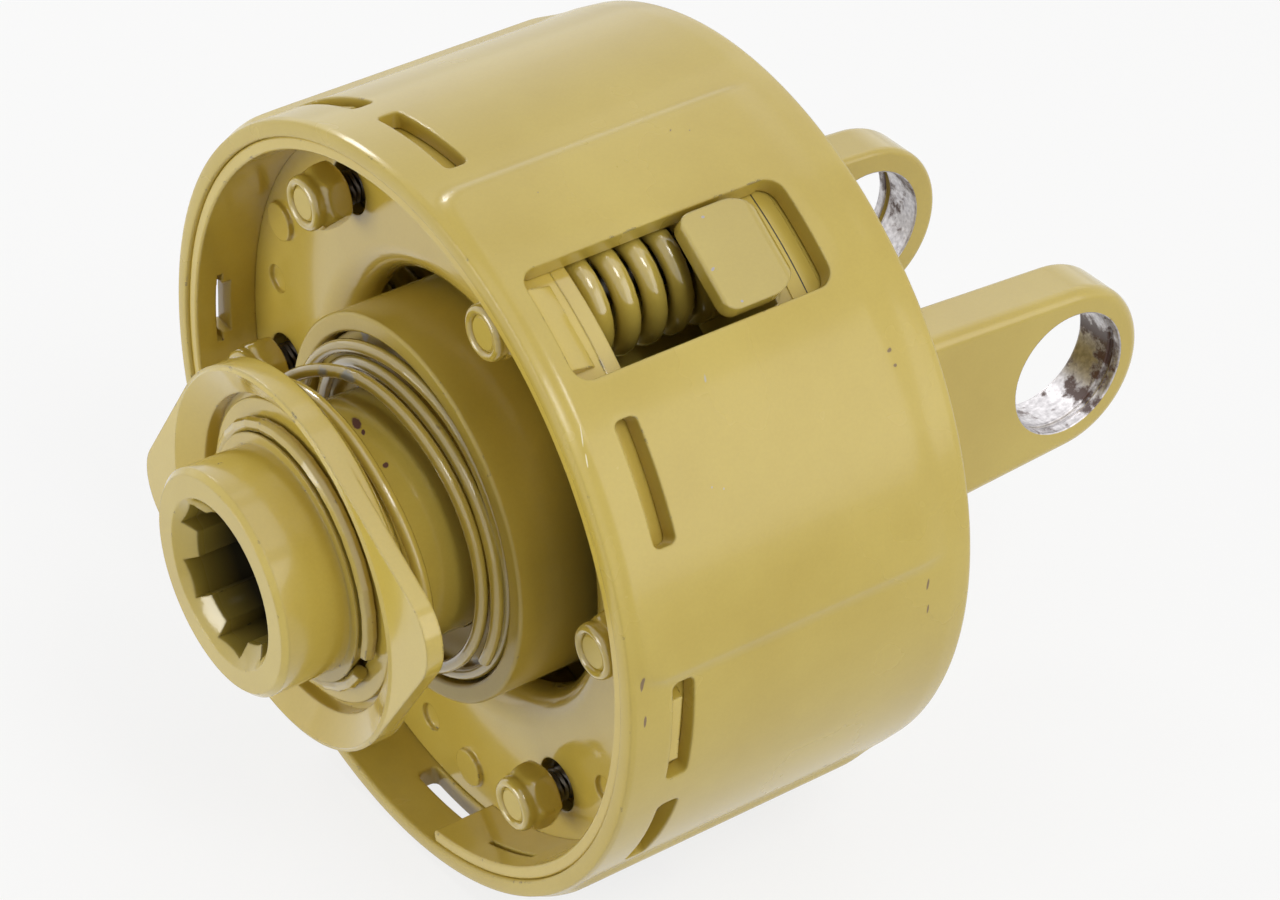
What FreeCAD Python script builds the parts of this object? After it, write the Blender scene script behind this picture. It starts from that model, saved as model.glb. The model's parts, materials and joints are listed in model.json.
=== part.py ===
# A torque limiter for a farm driveline, built in the order in which it is put together.
# The splined hub carries an overrunning ring. The ring drives a spring-loaded friction pack.
# The pack sits in a drum, and the drum carries the fork of a universal joint.
# All lengths are millimetres. The shaft axis is +X, from the splined nose to the fork.

import FreeCAD, Part
import Sketcher
import math
import os

os.makedirs("parts", exist_ok=True)
doc = FreeCAD.newDocument("torque_limiter")

# Driving sizes. Each is set once here, and the sheet takes it up under the same name.

# Splined hub
BORE_MINOR_RADIUS = 14.8
BORE_MAJOR_RADIUS = 17.45
SPLINE_GROOVE_WIDTH = 8.7
BORE_MOUTH_RADIUS = 19.3
BORE_MOUTH_DEPTH = 3.6
HUB_BODY_RADIUS = 28.0
NOSE_STEP = 2.4
NOSE_LENGTH = 16.0
SHOULDER_RISE = 4.0
SHOULDER_STATION = 50.6
SHOULDER_LENGTH = 5.4
RACE_LENGTH = 40.5
RACE_RISE = 10.0
RUNNING_GAP = 0.06
SLIDING_GAP = 0.05
REAR_JOURNAL_LENGTH = 8.0

# Pull collar
SNAP_WIRE_RADIUS = 1.65
SNAP_RING_SETBACK = 2.2
BALL_SETBACK = 6.5
BALL_RADIUS = 6.4
COLLAR_LEAD = 3.8
COLLAR_LENGTH = 12.6
COLLAR_PLATE_THICKNESS = 4.0
COLLAR_OPENING_DEPTH = 8.0
COLLAR_DISH_DEPTH = 3.9
COLLAR_RIM_WIDTH = 7.3
COLLAR_BOSS_WALL = 5.2
COLLAR_SIDE_RADIUS = 43.2
COLLAR_LOBE_RISE = 14.3
COLLAR_LOBE_ROUNDING = 12.2
COLLAR_SPRING_WIRE_RADIUS = 1.5

# Overrunning ring
RING_LEAD = 10.6
RING_WALL = 6.5
RING_RIM = 4.4
RING_REAR_GAP = 1.8
RING_CLIP_WIDTH = 1.9
DRIVE_KEY_RISE = 4.5
DRIVE_KEY_WIDTH = 14.0
SPIGOT_RADIUS = 22.0
SPIGOT_SETBACK = 0.6
END_GROOVE_WIDTH = 1.8

# Drum
DRUM_LEAD = 3.2
DRUM_LENGTH = 88.0
DRUM_RADIUS = 88.0
DRUM_WALL = 4.0
DRUM_FLOOR = 6.0
PAD_RISE = 1.05
WINDOW_SETBACK = 7.1
WINDOW_LENGTH = 63.5
WINDOW_WIDTH = 25.4
SLOT_SETBACK = 10.6
SLOT_WIDTH = 5.2
SLOT_LENGTH = 26.4
BUSH_WALL = 3.0
RIVET_CIRCLE_RADIUS = 39.0
RIVET_RADIUS = 4.0

# Front end of the drum
BAND_SETBACK = 0.8
BAND_THICKNESS = 2.95
FRONT_PLATE_SETBACK = 16.4
FRONT_PLATE_THICKNESS = 3.7
FRONT_PLATE_LIP_RADIUS = 48.2
CLUTCH_SPRING_LIP_GAP = 1.45
CLUTCH_SPRING_WIRE_RADIUS = 2.95
CLUTCH_SPRING_CLEARANCE = 0.75
STUD_RADIUS = 4.0
STUD_SETBACK = 0.6
NUT_GAP = 3.1
NUT_HEIGHT = 9.2
NUT_ACROSS_FLATS = 13.0

# Friction pack
PACK_CLEARANCE = 0.4
PACK_INNER_RADIUS = 53.0
FLOOR_RING_THICKNESS = 8.2
FRICTION_DISC_THICKNESS = 3.6
DRIVE_PLATE_THICKNESS = 3.7
PRESSURE_PLATE_THICKNESS = 4.2
TAB_LENGTH = 19.1
TAB_PROUD = 1.15
TAB_SIDE_GAP = 1.4

# Fork
FORK_FLANGE_RADIUS = 54.0
FORK_FLANGE_THICKNESS = 12.0
FORK_SEAT_DEPTH = 5.8
EAR_HALF_GAP = 29.6
EAR_THICKNESS = 14.0
EAR_BASE_HALF_HEIGHT = 25.0
EYE_REACH = 63.8
EYE_RADIUS = 15.1
EYE_WALL = 5.9

# The sheet that holds them

sheet = doc.addObject("Spreadsheet::Sheet", "Sizes")
plain = {}


class Size:
    """A number together with the text that reads it from the sheet."""

    def __init__(self, value, text):
        self.value = value
        self.text = text

    def __add__(self, other):
        other = size_of(other)
        return Size(self.value + other.value, "(" + self.text + " + " + other.text + ")")

    def __radd__(self, other):
        return size_of(other) + self

    def __sub__(self, other):
        other = size_of(other)
        return Size(self.value - other.value, "(" + self.text + " - " + other.text + ")")

    def __rsub__(self, other):
        return size_of(other) - self

    def __mul__(self, other):
        other = size_of(other)
        return Size(self.value * other.value, "(" + self.text + " * " + other.text + ")")

    def __rmul__(self, other):
        return size_of(other) * self

    def __truediv__(self, other):
        other = size_of(other)
        return Size(self.value / other.value, "(" + self.text + " / " + other.text + ")")

    def __neg__(self):
        return size_of(0) - self


def size_of(item):
    """Turn a plain number into a Size."""
    if isinstance(item, Size):
        return item
    return Size(float(item), repr(float(item)))


def named(alias, value, note):
    """Write one driving size into the sheet and give it back as a Size."""
    row = len(plain) + 1
    sheet.set("A%d" % row, alias)
    sheet.set("B%d" % row, repr(float(value)))
    sheet.set("C%d" % row, note)
    sheet.setAlias("B%d" % row, alias)
    plain[alias] = float(value)
    return Size(float(value), "Sizes." + alias)


# Splined hub
bore_minor = named("bore_minor_radius", BORE_MINOR_RADIUS, "tip circle of the six splines")
bore_major = named("bore_major_radius", BORE_MAJOR_RADIUS, "root of the spline grooves")
spline_width = named("spline_groove_width", SPLINE_GROOVE_WIDTH, "width of one spline groove")
mouth = named("bore_mouth_radius", BORE_MOUTH_RADIUS, "mouth of the bore")
mouth_depth = named("bore_mouth_depth", BORE_MOUTH_DEPTH, "depth of the bevel on the spline ends")
body_r = named("hub_body_radius", HUB_BODY_RADIUS, "cylinder on which the collar slides")
nose_step = named("nose_step", NOSE_STEP, "nose below the hub body")
nose_end = named("nose_length", NOSE_LENGTH, "nose, up to the collar seat")
shoulder_rise = named("shoulder_rise", SHOULDER_RISE, "shoulder above the hub body")
shoulder_x = named("shoulder_station", SHOULDER_STATION, "front of the shoulder")
shoulder_len = named("shoulder_length", SHOULDER_LENGTH, "shoulder, up to the race")
race_len = named("race_length", RACE_LENGTH, "overrunning race")
race_rise = named("race_rise", RACE_RISE, "bore of the ring above the hub body")
run_gap = named("running_gap", RUNNING_GAP, "radial clearance of a running fit")
slide_gap = named("sliding_gap", SLIDING_GAP, "radial clearance of a sliding fit")
journal_len = named("rear_journal_length", REAR_JOURNAL_LENGTH, "rear journal of the hub")

# Pull collar
snap_wire = named("snap_wire_radius", SNAP_WIRE_RADIUS, "wire of the retaining ring")
snap_back = named("snap_ring_setback", SNAP_RING_SETBACK, "retaining ring behind the nose")
ball_back = named("ball_setback", BALL_SETBACK, "locking balls behind the retaining ring")
ball_r = named("ball_radius", BALL_RADIUS, "locking ball")
collar_lead = named("collar_lead", COLLAR_LEAD, "collar front ahead of the retaining ring")
collar_len = named("collar_length", COLLAR_LENGTH, "collar, front to back")
collar_plate = named("collar_plate_thickness", COLLAR_PLATE_THICKNESS, "plate of the grip lobes")
collar_gap = named("collar_opening_depth", COLLAR_OPENING_DEPTH, "round opening beyond the hub body")
collar_dish = named("collar_dish_depth", COLLAR_DISH_DEPTH, "depth of the dished front")
collar_rim = named("collar_rim_width", COLLAR_RIM_WIDTH, "width of the outer rim")
collar_wall = named("collar_boss_wall", COLLAR_BOSS_WALL, "wall of the boss that centres the spring")
collar_side = named("collar_side_radius", COLLAR_SIDE_RADIUS, "round side of the collar")
lobe_rise = named("collar_lobe_rise", COLLAR_LOBE_RISE, "tip of a grip lobe beyond the round side")
lobe_round = named("collar_lobe_rounding", COLLAR_LOBE_ROUNDING, "rounding of a lobe tip")
wire_r = named("collar_spring_wire_radius", COLLAR_SPRING_WIRE_RADIUS, "wire of the return spring")

# Overrunning ring
ring_lead = named("ring_lead", RING_LEAD, "ring front ahead of the race")
ring_wall = named("ring_wall", RING_WALL, "ring, from its bore to its outside")
ring_rim = named("ring_rim", RING_RIM, "rim around the front recess")
ring_gap = named("ring_rear_gap", RING_REAR_GAP, "thrust washer between ring and drum floor")
clip_w = named("ring_clip_width", RING_CLIP_WIDTH, "groove of the circlip that holds the hub")
key_rise = named("drive_key_rise", DRIVE_KEY_RISE, "drive keys above the ring")
key_w = named("drive_key_width", DRIVE_KEY_WIDTH, "width of one drive key")
spigot_r = named("spigot_radius", SPIGOT_RADIUS, "rear spigot of the ring")
spigot_back = named("spigot_setback", SPIGOT_SETBACK, "spigot end ahead of the flange face")
end_groove_w = named("end_groove_width", END_GROOVE_WIDTH, "groove of the end circlip")

# Drum
drum_lead = named("drum_lead", DRUM_LEAD, "drum front ahead of the ring")
drum_len = named("drum_length", DRUM_LENGTH, "drum, front to back")
drum_r = named("drum_radius", DRUM_RADIUS, "outside of the drum")
wall = named("drum_wall", DRUM_WALL, "wall of the drum")
floor_t = named("drum_floor", DRUM_FLOOR, "floor of the drum")
pad_rise = named("pad_rise", PAD_RISE, "height of the raised pads")
window_back = named("window_setback", WINDOW_SETBACK, "front edge of a window behind the drum front")
window_len = named("window_length", WINDOW_LENGTH, "length of a window")
window_w = named("window_width", WINDOW_WIDTH, "width of a window")
slot_back = named("slot_setback", SLOT_SETBACK, "front edge of a slot behind the drum front")
slot_w = named("slot_width", SLOT_WIDTH, "slot, measured along the axis")
slot_len = named("slot_length", SLOT_LENGTH, "slot, measured around the drum")
bush_wall = named("bush_wall", BUSH_WALL, "wall of the rear bush")
rivet_circle = named("rivet_circle_radius", RIVET_CIRCLE_RADIUS, "circle of the fork rivets")
rivet_r = named("rivet_radius", RIVET_RADIUS, "fork rivet")

# Front end of the drum
band_back = named("band_setback", BAND_SETBACK, "band behind the drum front")
band_t = named("band_thickness", BAND_THICKNESS, "split retaining band")
plate_back_off = named("front_plate_setback", FRONT_PLATE_SETBACK, "front plate behind the drum front")
plate_t = named("front_plate_thickness", FRONT_PLATE_THICKNESS, "front plate")
lip_r = named("front_plate_lip_radius", FRONT_PLATE_LIP_RADIUS, "hole of the front plate")
coil_lip = named("clutch_spring_lip_gap", CLUTCH_SPRING_LIP_GAP, "clutch spring to the plate's lip")
coil_wire = named("clutch_spring_wire_radius", CLUTCH_SPRING_WIRE_RADIUS, "wire of a clutch spring")
coil_gap = named("clutch_spring_clearance", CLUTCH_SPRING_CLEARANCE, "clutch spring to the drum wall")
stud_r = named("stud_radius", STUD_RADIUS, "stud")
stud_back = named("stud_setback", STUD_SETBACK, "stud end behind the nut face")
nut_gap = named("nut_gap", NUT_GAP, "nut to the front plate")
nut_len = named("nut_height", NUT_HEIGHT, "height of a nut")
nut_flats = named("nut_across_flats", NUT_ACROSS_FLATS, "nut across its flats")

# Friction pack
pack_gap = named("pack_clearance", PACK_CLEARANCE, "pack to the drum wall")
pack_in = named("pack_inner_radius", PACK_INNER_RADIUS, "inside of a friction disc")
floor_ring_t = named("floor_ring_thickness", FLOOR_RING_THICKNESS, "ring between the pack and the drum floor")
disc_t = named("friction_disc_thickness", FRICTION_DISC_THICKNESS, "friction disc")
drive_t = named("drive_plate_thickness", DRIVE_PLATE_THICKNESS, "drive plate")
press_t = named("pressure_plate_thickness", PRESSURE_PLATE_THICKNESS, "pressure plate")
tab_len = named("tab_length", TAB_LENGTH, "tab of the pressure plate, bent forward")
tab_proud = named("tab_proud", TAB_PROUD, "tab above the raised pad")
tab_gap = named("tab_side_gap", TAB_SIDE_GAP, "tab to the side of its window")

# Fork
flange_r = named("fork_flange_radius", FORK_FLANGE_RADIUS, "flange of the fork")
flange_t = named("fork_flange_thickness", FORK_FLANGE_THICKNESS, "flange of the fork")
seat_depth = named("fork_seat_depth", FORK_SEAT_DEPTH, "seat of the end washer behind the drum")
ear_in = named("ear_half_gap", EAR_HALF_GAP, "inner face of an ear")
ear_t = named("ear_thickness", EAR_THICKNESS, "thickness of an ear")
ear_base = named("ear_base_half_height", EAR_BASE_HALF_HEIGHT, "ear at the flange")
eye_reach = named("eye_reach", EYE_REACH, "cross bore behind the drum")
eye_r = named("eye_radius", EYE_RADIUS, "cross bore")
eye_wall = named("eye_wall", EYE_WALL, "metal around the cross bore")
# Stations and radii that follow from the driving sizes, from the nose to the fork

nose_r = body_r - nose_step
race_r = body_r + race_rise
ring_r = race_r + ring_wall
shoulder_r = body_r + shoulder_rise
snap_x = nose_end + snap_back
ball_x = snap_x + ball_back
collar_front = snap_x - collar_lead
collar_back = collar_front + collar_len
collar_open = body_r + collar_gap
collar_boss = body_r + collar_wall
collar_lobe = collar_side + lobe_rise
race_x = shoulder_x + shoulder_len
ring_x = race_x - ring_lead
recess_r = ring_r - ring_rim
key_r = ring_r + key_rise
drum_x = ring_x - drum_lead
drum_end = drum_x + drum_len
ring_end = drum_end - floor_t - ring_gap
spigot_end = drum_end + flange_t - spigot_back
bush_r = spigot_r + bush_wall
window_x = drum_x + window_back
slot_x = drum_x + slot_back
band_x = drum_x + band_back
plate_x = drum_x + plate_back_off
coil_room = drum_r - wall - coil_gap - lip_r - plate_t - coil_lip
coil_r = coil_room / 2 - coil_wire
stud_circle = drum_r - wall - coil_gap - coil_wire - coil_r
nut_x = plate_x - nut_gap - nut_len
stud_x = nut_x + stud_back
pack_out = drum_r - wall - pack_gap
press_x = drum_end - floor_t - floor_ring_t - disc_t * 2 - drive_t - press_t
tab_x = press_x + press_t - tab_len
tab_top = drum_r + pad_rise + tab_proud
tab_w = window_w - tab_gap * 2
bore_step = drum_end + seat_depth
eye_x = drum_end + eye_reach
ear_out = ear_in + ear_t
ear_r = eye_r + eye_wall

doc.recompute()

# Angles around the axis: zero is straight up, and they grow towards the side facing -Y.
WINDOW_ANGLE = 35.0
STUD_OFFSET = -8.4
SPLINE_ANGLE = 1.1
FORK_ANGLE = 0.0
COLLAR_ANGLE = 77.5

pieces = []


# Helpers for sketches and features

def new_body(label, turn=0.0):
    """Start a body that may be turned about the shaft axis."""
    body = doc.addObject("PartDesign::Body", label)
    body.Label = label
    axis = FreeCAD.Vector(1, 0, 0)
    body.Placement = FreeCAD.Placement(FreeCAD.Vector(0, 0, 0), FreeCAD.Rotation(axis, turn))
    pieces.append(body)
    return body


def origin_item(body, role):
    """Find an axis or plane of the body by its role."""
    for item in body.Origin.OriginFeatures:
        if item.Role == role:
            return item
    raise RuntimeError(role)


def new_sketch(body, name, role, turn=0.0, lift=0.0):
    """Attach a sketch to an origin plane, turned about X and lifted along its normal."""
    sketch = body.newObject("Sketcher::SketchObject", name)
    sketch.AttachmentSupport = [(origin_item(body, role), "")]
    sketch.MapMode = "FlatFace"
    lift = size_of(lift)
    if role == "YZ_Plane":
        spin = FreeCAD.Rotation(FreeCAD.Vector(0, 0, 1), turn)
        sketch.AttachmentOffset = FreeCAD.Placement(FreeCAD.Vector(0, 0, lift.value), spin)
        if "Sizes" in lift.text:
            sketch.setExpression("AttachmentOffset.Base.z", lift.text)
    else:
        spin = FreeCAD.Rotation(FreeCAD.Vector(1, 0, 0), turn)
        offset = spin.multVec(FreeCAD.Vector(0, 0, lift.value))
        sketch.AttachmentOffset = FreeCAD.Placement(offset, spin)
        if "Sizes" in lift.text and turn == 0.0:
            sketch.setExpression("AttachmentOffset.Base.z", lift.text)
    return sketch


def pins_for(item, end, across, up):
    """Constraints that hold one point, with the expression that drives each of them."""
    found = []
    for kind, size, axis in (("DistanceX", across, -2), ("DistanceY", up, -1)):
        size = size_of(size)
        if abs(size.value) < 1e-9:
            found.append((Sketcher.Constraint("PointOnObject", item, end, axis), None))
        elif size.value < 0:
            flipped = -size
            made = Sketcher.Constraint(kind, item, end, -1, 1, flipped.value)
            found.append((made, flipped.text))
        else:
            made = Sketcher.Constraint(kind, -1, 1, item, end, size.value)
            found.append((made, size.text))
    return found


def add_constraints(sketch, found):
    """Add constraints in one step and bind those that read the sheet."""
    first = sketch.ConstraintCount
    sketch.addConstraint([item[0] for item in found])
    for index, item in enumerate(found):
        if item[1] and "Sizes" in item[1]:
            sketch.setExpression("Constraints[%d]" % (first + index), item[1])


def outline(sketch, points):
    """Draw a closed outline through the given points."""
    first = sketch.GeometryCount
    count = len(points)
    spots = [FreeCAD.Vector(size_of(a).value, size_of(b).value, 0) for a, b in points]
    lines = []
    for index in range(count):
        lines.append(Part.LineSegment(spots[index], spots[(index + 1) % count]))
    sketch.addGeometry(lines, False)
    found = []
    for index in range(count):
        after = first + (index + 1) % count
        found.append((Sketcher.Constraint("Coincident", first + index, 2, after, 1), None))
    for index, (across, up) in enumerate(points):
        found.extend(pins_for(first + index, 1, across, up))
    add_constraints(sketch, found)


def round_outline(sketch, across, up, radius):
    """Draw a circle."""
    radius = size_of(radius)
    centre = FreeCAD.Vector(size_of(across).value, size_of(up).value, 0)
    item = sketch.GeometryCount
    sketch.addGeometry(Part.Circle(centre, FreeCAD.Vector(0, 0, 1), radius.value), False)
    found = pins_for(item, 3, across, up)
    found.append((Sketcher.Constraint("Radius", item, radius.value), radius.text))
    add_constraints(sketch, found)


def feature(body, kind, name, sketch):
    """Add a feature that uses one sketch."""
    made = body.newObject("PartDesign::" + kind, name)
    made.Profile = sketch
    sketch.Visibility = False
    return made


def turned(body, name, points, kind="Revolution", turn=0.0, sweep=None):
    """Turn an outline about the shaft axis; sweep gives a part turn centred on the angle."""
    sketch = new_sketch(body, name + "_outline", "XZ_Plane", turn)
    outline(sketch, points)
    made = feature(body, kind, name, sketch)
    made.ReferenceAxis = (sketch, ["H_Axis"])
    made.Angle = 360.0
    if sweep is not None:
        made.Midplane = True
        made.Angle = sweep
    return made


def grown(body, name, draw, start, length, turn=0.0):
    """Grow a cross-section along the shaft axis."""
    sketch = new_sketch(body, name + "_section", "YZ_Plane", turn, start)
    draw(sketch)
    made = feature(body, "Pad", name, sketch)
    length = size_of(length)
    made.Length = length.value
    if "Sizes" in length.text:
        made.setExpression("Length", length.text)
    return made


def volume_after(body):
    """Recompute and give the volume of the body."""
    doc.recompute()
    return body.Tip.Shape.Volume


def cut(body, name, sketch, length):
    """Cut in the direction of the sketch normal, checked by comparing volumes."""
    before = volume_after(body)
    made = feature(body, "Pocket", name, sketch)
    made.Reversed = True
    length = size_of(length)
    made.Length = length.value
    if "Sizes" in length.text:
        made.setExpression("Length", length.text)
    after = volume_after(body)
    if after > before - 0.5:
        raise RuntimeError(name + " removed nothing")
    return made


def cut_along(body, name, draw, start, length, turn=0.0):
    """Cut a cross-section along the shaft axis."""
    sketch = new_sketch(body, name + "_section", "YZ_Plane", turn, start)
    draw(sketch)
    return cut(body, name, sketch, length)


def cut_outwards(body, name, draw, turn=0.0, start=0.0, depth=110.0):
    """Cut an outline drawn over the axis outwards, away from the axis."""
    sketch = new_sketch(body, name + "_section", "XY_Plane", turn, start)
    draw(sketch)
    return cut(body, name, sketch, depth)


def around(body, name, originals, count):
    """Repeat features evenly about the shaft axis."""
    made = body.newObject("PartDesign::PolarPattern", name)
    made.Originals = originals
    made.Axis = (origin_item(body, "X_Axis"), [""])
    made.Angle = 360.0
    made.Occurrences = count
    body.Tip = made
    doc.recompute()
    return made


def softened(body, name, radius, test, kind="Fillet"):
    """Round or chamfer every edge that passes the test."""
    doc.recompute()
    base = body.Tip
    names = []
    for number, edge in enumerate(base.Shape.Edges, 1):
        if test(edge):
            names.append("Edge%d" % number)
    if not names:
        raise RuntimeError(name + " found no edge")
    made = body.newObject("PartDesign::" + kind, name)
    made.Base = (base, names)
    if kind == "Fillet":
        made.Radius = radius
    else:
        made.Size = radius
    doc.recompute()
    return made


def box_of(across, low, high):
    """Outline of a radial block: half width across, from low to high."""
    return [(-across, low), (across, low), (across, high), (-across, high)]


def is_circle(edge, station, radius, tolerance=0.05):
    """True for a circle about the shaft axis at a station."""
    if not isinstance(edge.Curve, Part.Circle):
        return False
    centre = edge.Curve.Center
    off_axis = math.hypot(centre.y, centre.z)
    same = abs(centre.x - station) < tolerance and abs(edge.Curve.Radius - radius) < tolerance
    return same and off_axis < 0.01


def piece(label, shape):
    """Keep a shape that is built directly."""
    made = doc.addObject("Part::Feature", label)
    made.Shape = shape
    made.Label = label
    pieces.append(made)
    return made


def spun(shape, angle):
    """A copy turned about the shaft axis."""
    copy = shape.copy()
    copy.rotate(FreeCAD.Vector(0, 0, 0), FreeCAD.Vector(1, 0, 0), angle)
    return copy


def at_angle(station, radius, angle):
    """A point given by station, distance from the axis and angle."""
    turn = math.radians(angle)
    return FreeCAD.Vector(station, -radius * math.sin(turn), radius * math.cos(turn))


def at_pair(angle, radius):
    """Section coordinates of a point given by angle and distance from the axis."""
    turn = math.radians(angle)
    return (-radius * math.sin(turn), radius * math.cos(turn))


def wire_tube(path, across, wire, sides):
    """A closed skin of flat facets around a wire; across gives the radial direction at each point."""
    rings = []
    for middle, radial in zip(path, across):
        ring = []
        for step in range(sides):
            turn = 2 * math.pi * step / sides
            shift = radial * (wire * math.cos(turn)) + FreeCAD.Vector(wire * math.sin(turn), 0, 0)
            ring.append(middle + shift)
        rings.append(ring)
    faces = []
    for one, two in zip(rings, rings[1:]):
        for step in range(sides):
            after = (step + 1) % sides
            faces.append(Part.Face(Part.makePolygon([one[step], one[after], two[after], one[step]])))
            faces.append(Part.Face(Part.makePolygon([one[step], two[after], two[step], one[step]])))
    for ring in (rings[0], rings[-1]):
        faces.append(Part.Face(Part.makePolygon(ring + [ring[0]])))
    solid = Part.makeSolid(Part.makeShell(faces))
    if solid.Volume < 0:
        solid.reverse()
    return solid


def joined(shapes):
    """Several loose shapes as one."""
    return Part.makeCompound(shapes)


# Splined hub: nose, collar seat, shoulder, race and rear journal

race_outer = race_r - run_gap
race_end = race_x + race_len
hub_end = race_end + journal_len
groove_low = snap_x - snap_wire - 0.05
groove_high = snap_x + snap_wire + 0.05
groove_floor = body_r - 0.6
key_slot_floor = body_r + 0.6

hub = new_body("spline_hub")
turned(hub, "blank", [
    (0, mouth),
    (mouth - bore_major, bore_major),
    (mouth_depth, bore_minor),
    (hub_end - 1.2, bore_minor),
    (hub_end, bore_minor + 1.2),
    (hub_end, body_r - 1.0),
    (hub_end - 1.0, body_r),
    (race_end, body_r),
    (race_end, race_outer - 0.8),
    (race_end - 0.8, race_outer),
    (race_x + 0.8, race_outer),
    (race_x, race_outer - 0.8),
    (race_x, shoulder_r),
    (shoulder_x, shoulder_r),
    (shoulder_x, body_r),
    (groove_high, body_r),
    (groove_high, groove_floor),
    (groove_low, groove_floor),
    (groove_low, body_r),
    (nose_end, body_r),
    (nose_end, nose_r),
    (1.2, nose_r),
    (0, nose_r - 1.2),
])
spline = cut_along(hub, "spline_groove", lambda s: outline(
    s, box_of(spline_width / 2, bore_minor - 2.8, bore_major)), 0, hub_end, SPLINE_ANGLE)
around(hub, "spline_grooves", [spline], 6)
ball_hole = cut_outwards(hub, "ball_hole", lambda s: round_outline(
    s, ball_x, 0, ball_r + 0.1), SPLINE_ANGLE)
around(hub, "ball_holes", [ball_hole], 3)
key_slot = cut_outwards(hub, "key_slot", lambda s: outline(s, [
    (race_x + 5.0, -5.6), (race_end - 5.0, -5.6), (race_end - 5.0, 5.6), (race_x + 5.0, 5.6)]),
    SPLINE_ANGLE + 30.0, key_slot_floor)
around(hub, "key_slots", [key_slot], 3)

# Retaining ring of the collar: round wire with a gap

snap_mid = groove_floor + snap_wire + 0.2
snap_path = []
snap_out = []
for step in range(31):
    angle = 122.0 + 12.0 * step * 346.0 / 360.0
    snap_path.append(at_angle(snap_x.value, snap_mid.value, angle))
    snap_out.append(at_angle(0.0, 1.0, angle))
piece("hub_snap_ring", wire_tube(snap_path, snap_out, snap_wire.value, 8))

# Washer behind the retaining ring

washer_x = snap_x + snap_wire + 0.12
washer_t = size_of(1.5)
collar_washer = new_body("collar_washer")
turned(collar_washer, "ring", [
    (washer_x, body_r + slide_gap * 2),
    (washer_x, collar_open - 1.7),
    (washer_x + washer_t, collar_open - 1.7),
    (washer_x + washer_t, body_r + slide_gap * 2),
])

# Locking balls: three, each in its radial hole

ball_mid = body_r - ball_r - 0.05
balls = []
for step in range(3):
    centre = at_angle(ball_x.value, ball_mid.value, SPLINE_ANGLE + 120.0 * step)
    balls.append(Part.makeSphere(ball_r.value, centre))
piece("lock_balls", joined(balls))

# Pull collar: dished ring with two grip lobes, sliding on the hub body

collar = new_body("lock_collar", COLLAR_ANGLE)
web_x = washer_x + washer_t + 0.05
slide_r = body_r + slide_gap
rim_end = collar_front + collar_rim
turned(collar, "rim", [
    (collar_front, collar_side - 1.0),
    (collar_front + collar_dish, collar_open),
    (web_x, collar_open),
    (web_x, slide_r + 0.5),
    (web_x + 0.5, slide_r),
    (collar_back - 0.4, slide_r),
    (collar_back, slide_r + 0.4),
    (collar_back, collar_boss - 0.8),
    (collar_back - 0.8, collar_boss),
    (rim_end + 1.6, collar_boss),
    (rim_end + 1.6, collar_side - 4.6),
    (rim_end, collar_side - 1.4),
    (rim_end - 1.2, collar_side),
    (collar_front + 1.0, collar_side),
])


def lobed_outline(sketch):
    """Two round sides and two rounded lobes joined by tangent lines, with an open middle."""
    reach = collar_lobe - lobe_round
    lean = math.degrees(math.acos((collar_side.value - lobe_round.value) / reach.value))
    axis = FreeCAD.Vector(0, 0, 1)
    centre = FreeCAD.Vector(0, 0, 0)
    arcs = []
    for start, middle, radius, half in ((90.0, reach.value, lobe_round.value, lean),
                                        (180.0, 0.0, collar_side.value, 90.0 - lean),
                                        (270.0, -reach.value, lobe_round.value, lean),
                                        (0.0, 0.0, collar_side.value, 90.0 - lean)):
        circle = Part.Circle(FreeCAD.Vector(0, middle, 0), axis, radius)
        low = math.radians(start - half)
        high = math.radians(start + half)
        arcs.append(Part.ArcOfCircle(circle, low, high))
    sketch.addGeometry(arcs, False)
    lines = []
    for index in range(4):
        lines.append(Part.LineSegment(arcs[index].EndPoint, arcs[(index + 1) % 4].StartPoint))
    sketch.addGeometry(lines, False)
    found = []
    for index in range(4):
        found.append((Sketcher.Constraint("Tangent", index, 2, 4 + index, 1), None))
        found.append((Sketcher.Constraint("Tangent", 4 + index, 2, (index + 1) % 4, 1), None))
    found.extend(pins_for(0, 3, 0, reach))
    found.extend(pins_for(2, 3, 0, -reach))
    found.append((Sketcher.Constraint("Coincident", 1, 3, -1, 1), None))
    found.append((Sketcher.Constraint("Coincident", 3, 3, -1, 1), None))
    found.append((Sketcher.Constraint("Radius", 0, lobe_round.value), lobe_round.text))
    found.append((Sketcher.Constraint("Radius", 1, collar_side.value), collar_side.text))
    found.append((Sketcher.Constraint("Equal", 0, 2), None))
    found.append((Sketcher.Constraint("Equal", 1, 3), None))
    add_constraints(sketch, found)
    round_outline(sketch, 0, 0, collar_side - 0.7)


grown(collar, "grip_lobes", lobed_outline, collar_front + 0.5, collar_plate)

# Return spring of the collar: one turn on the collar, then nested turns in the ring

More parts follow.
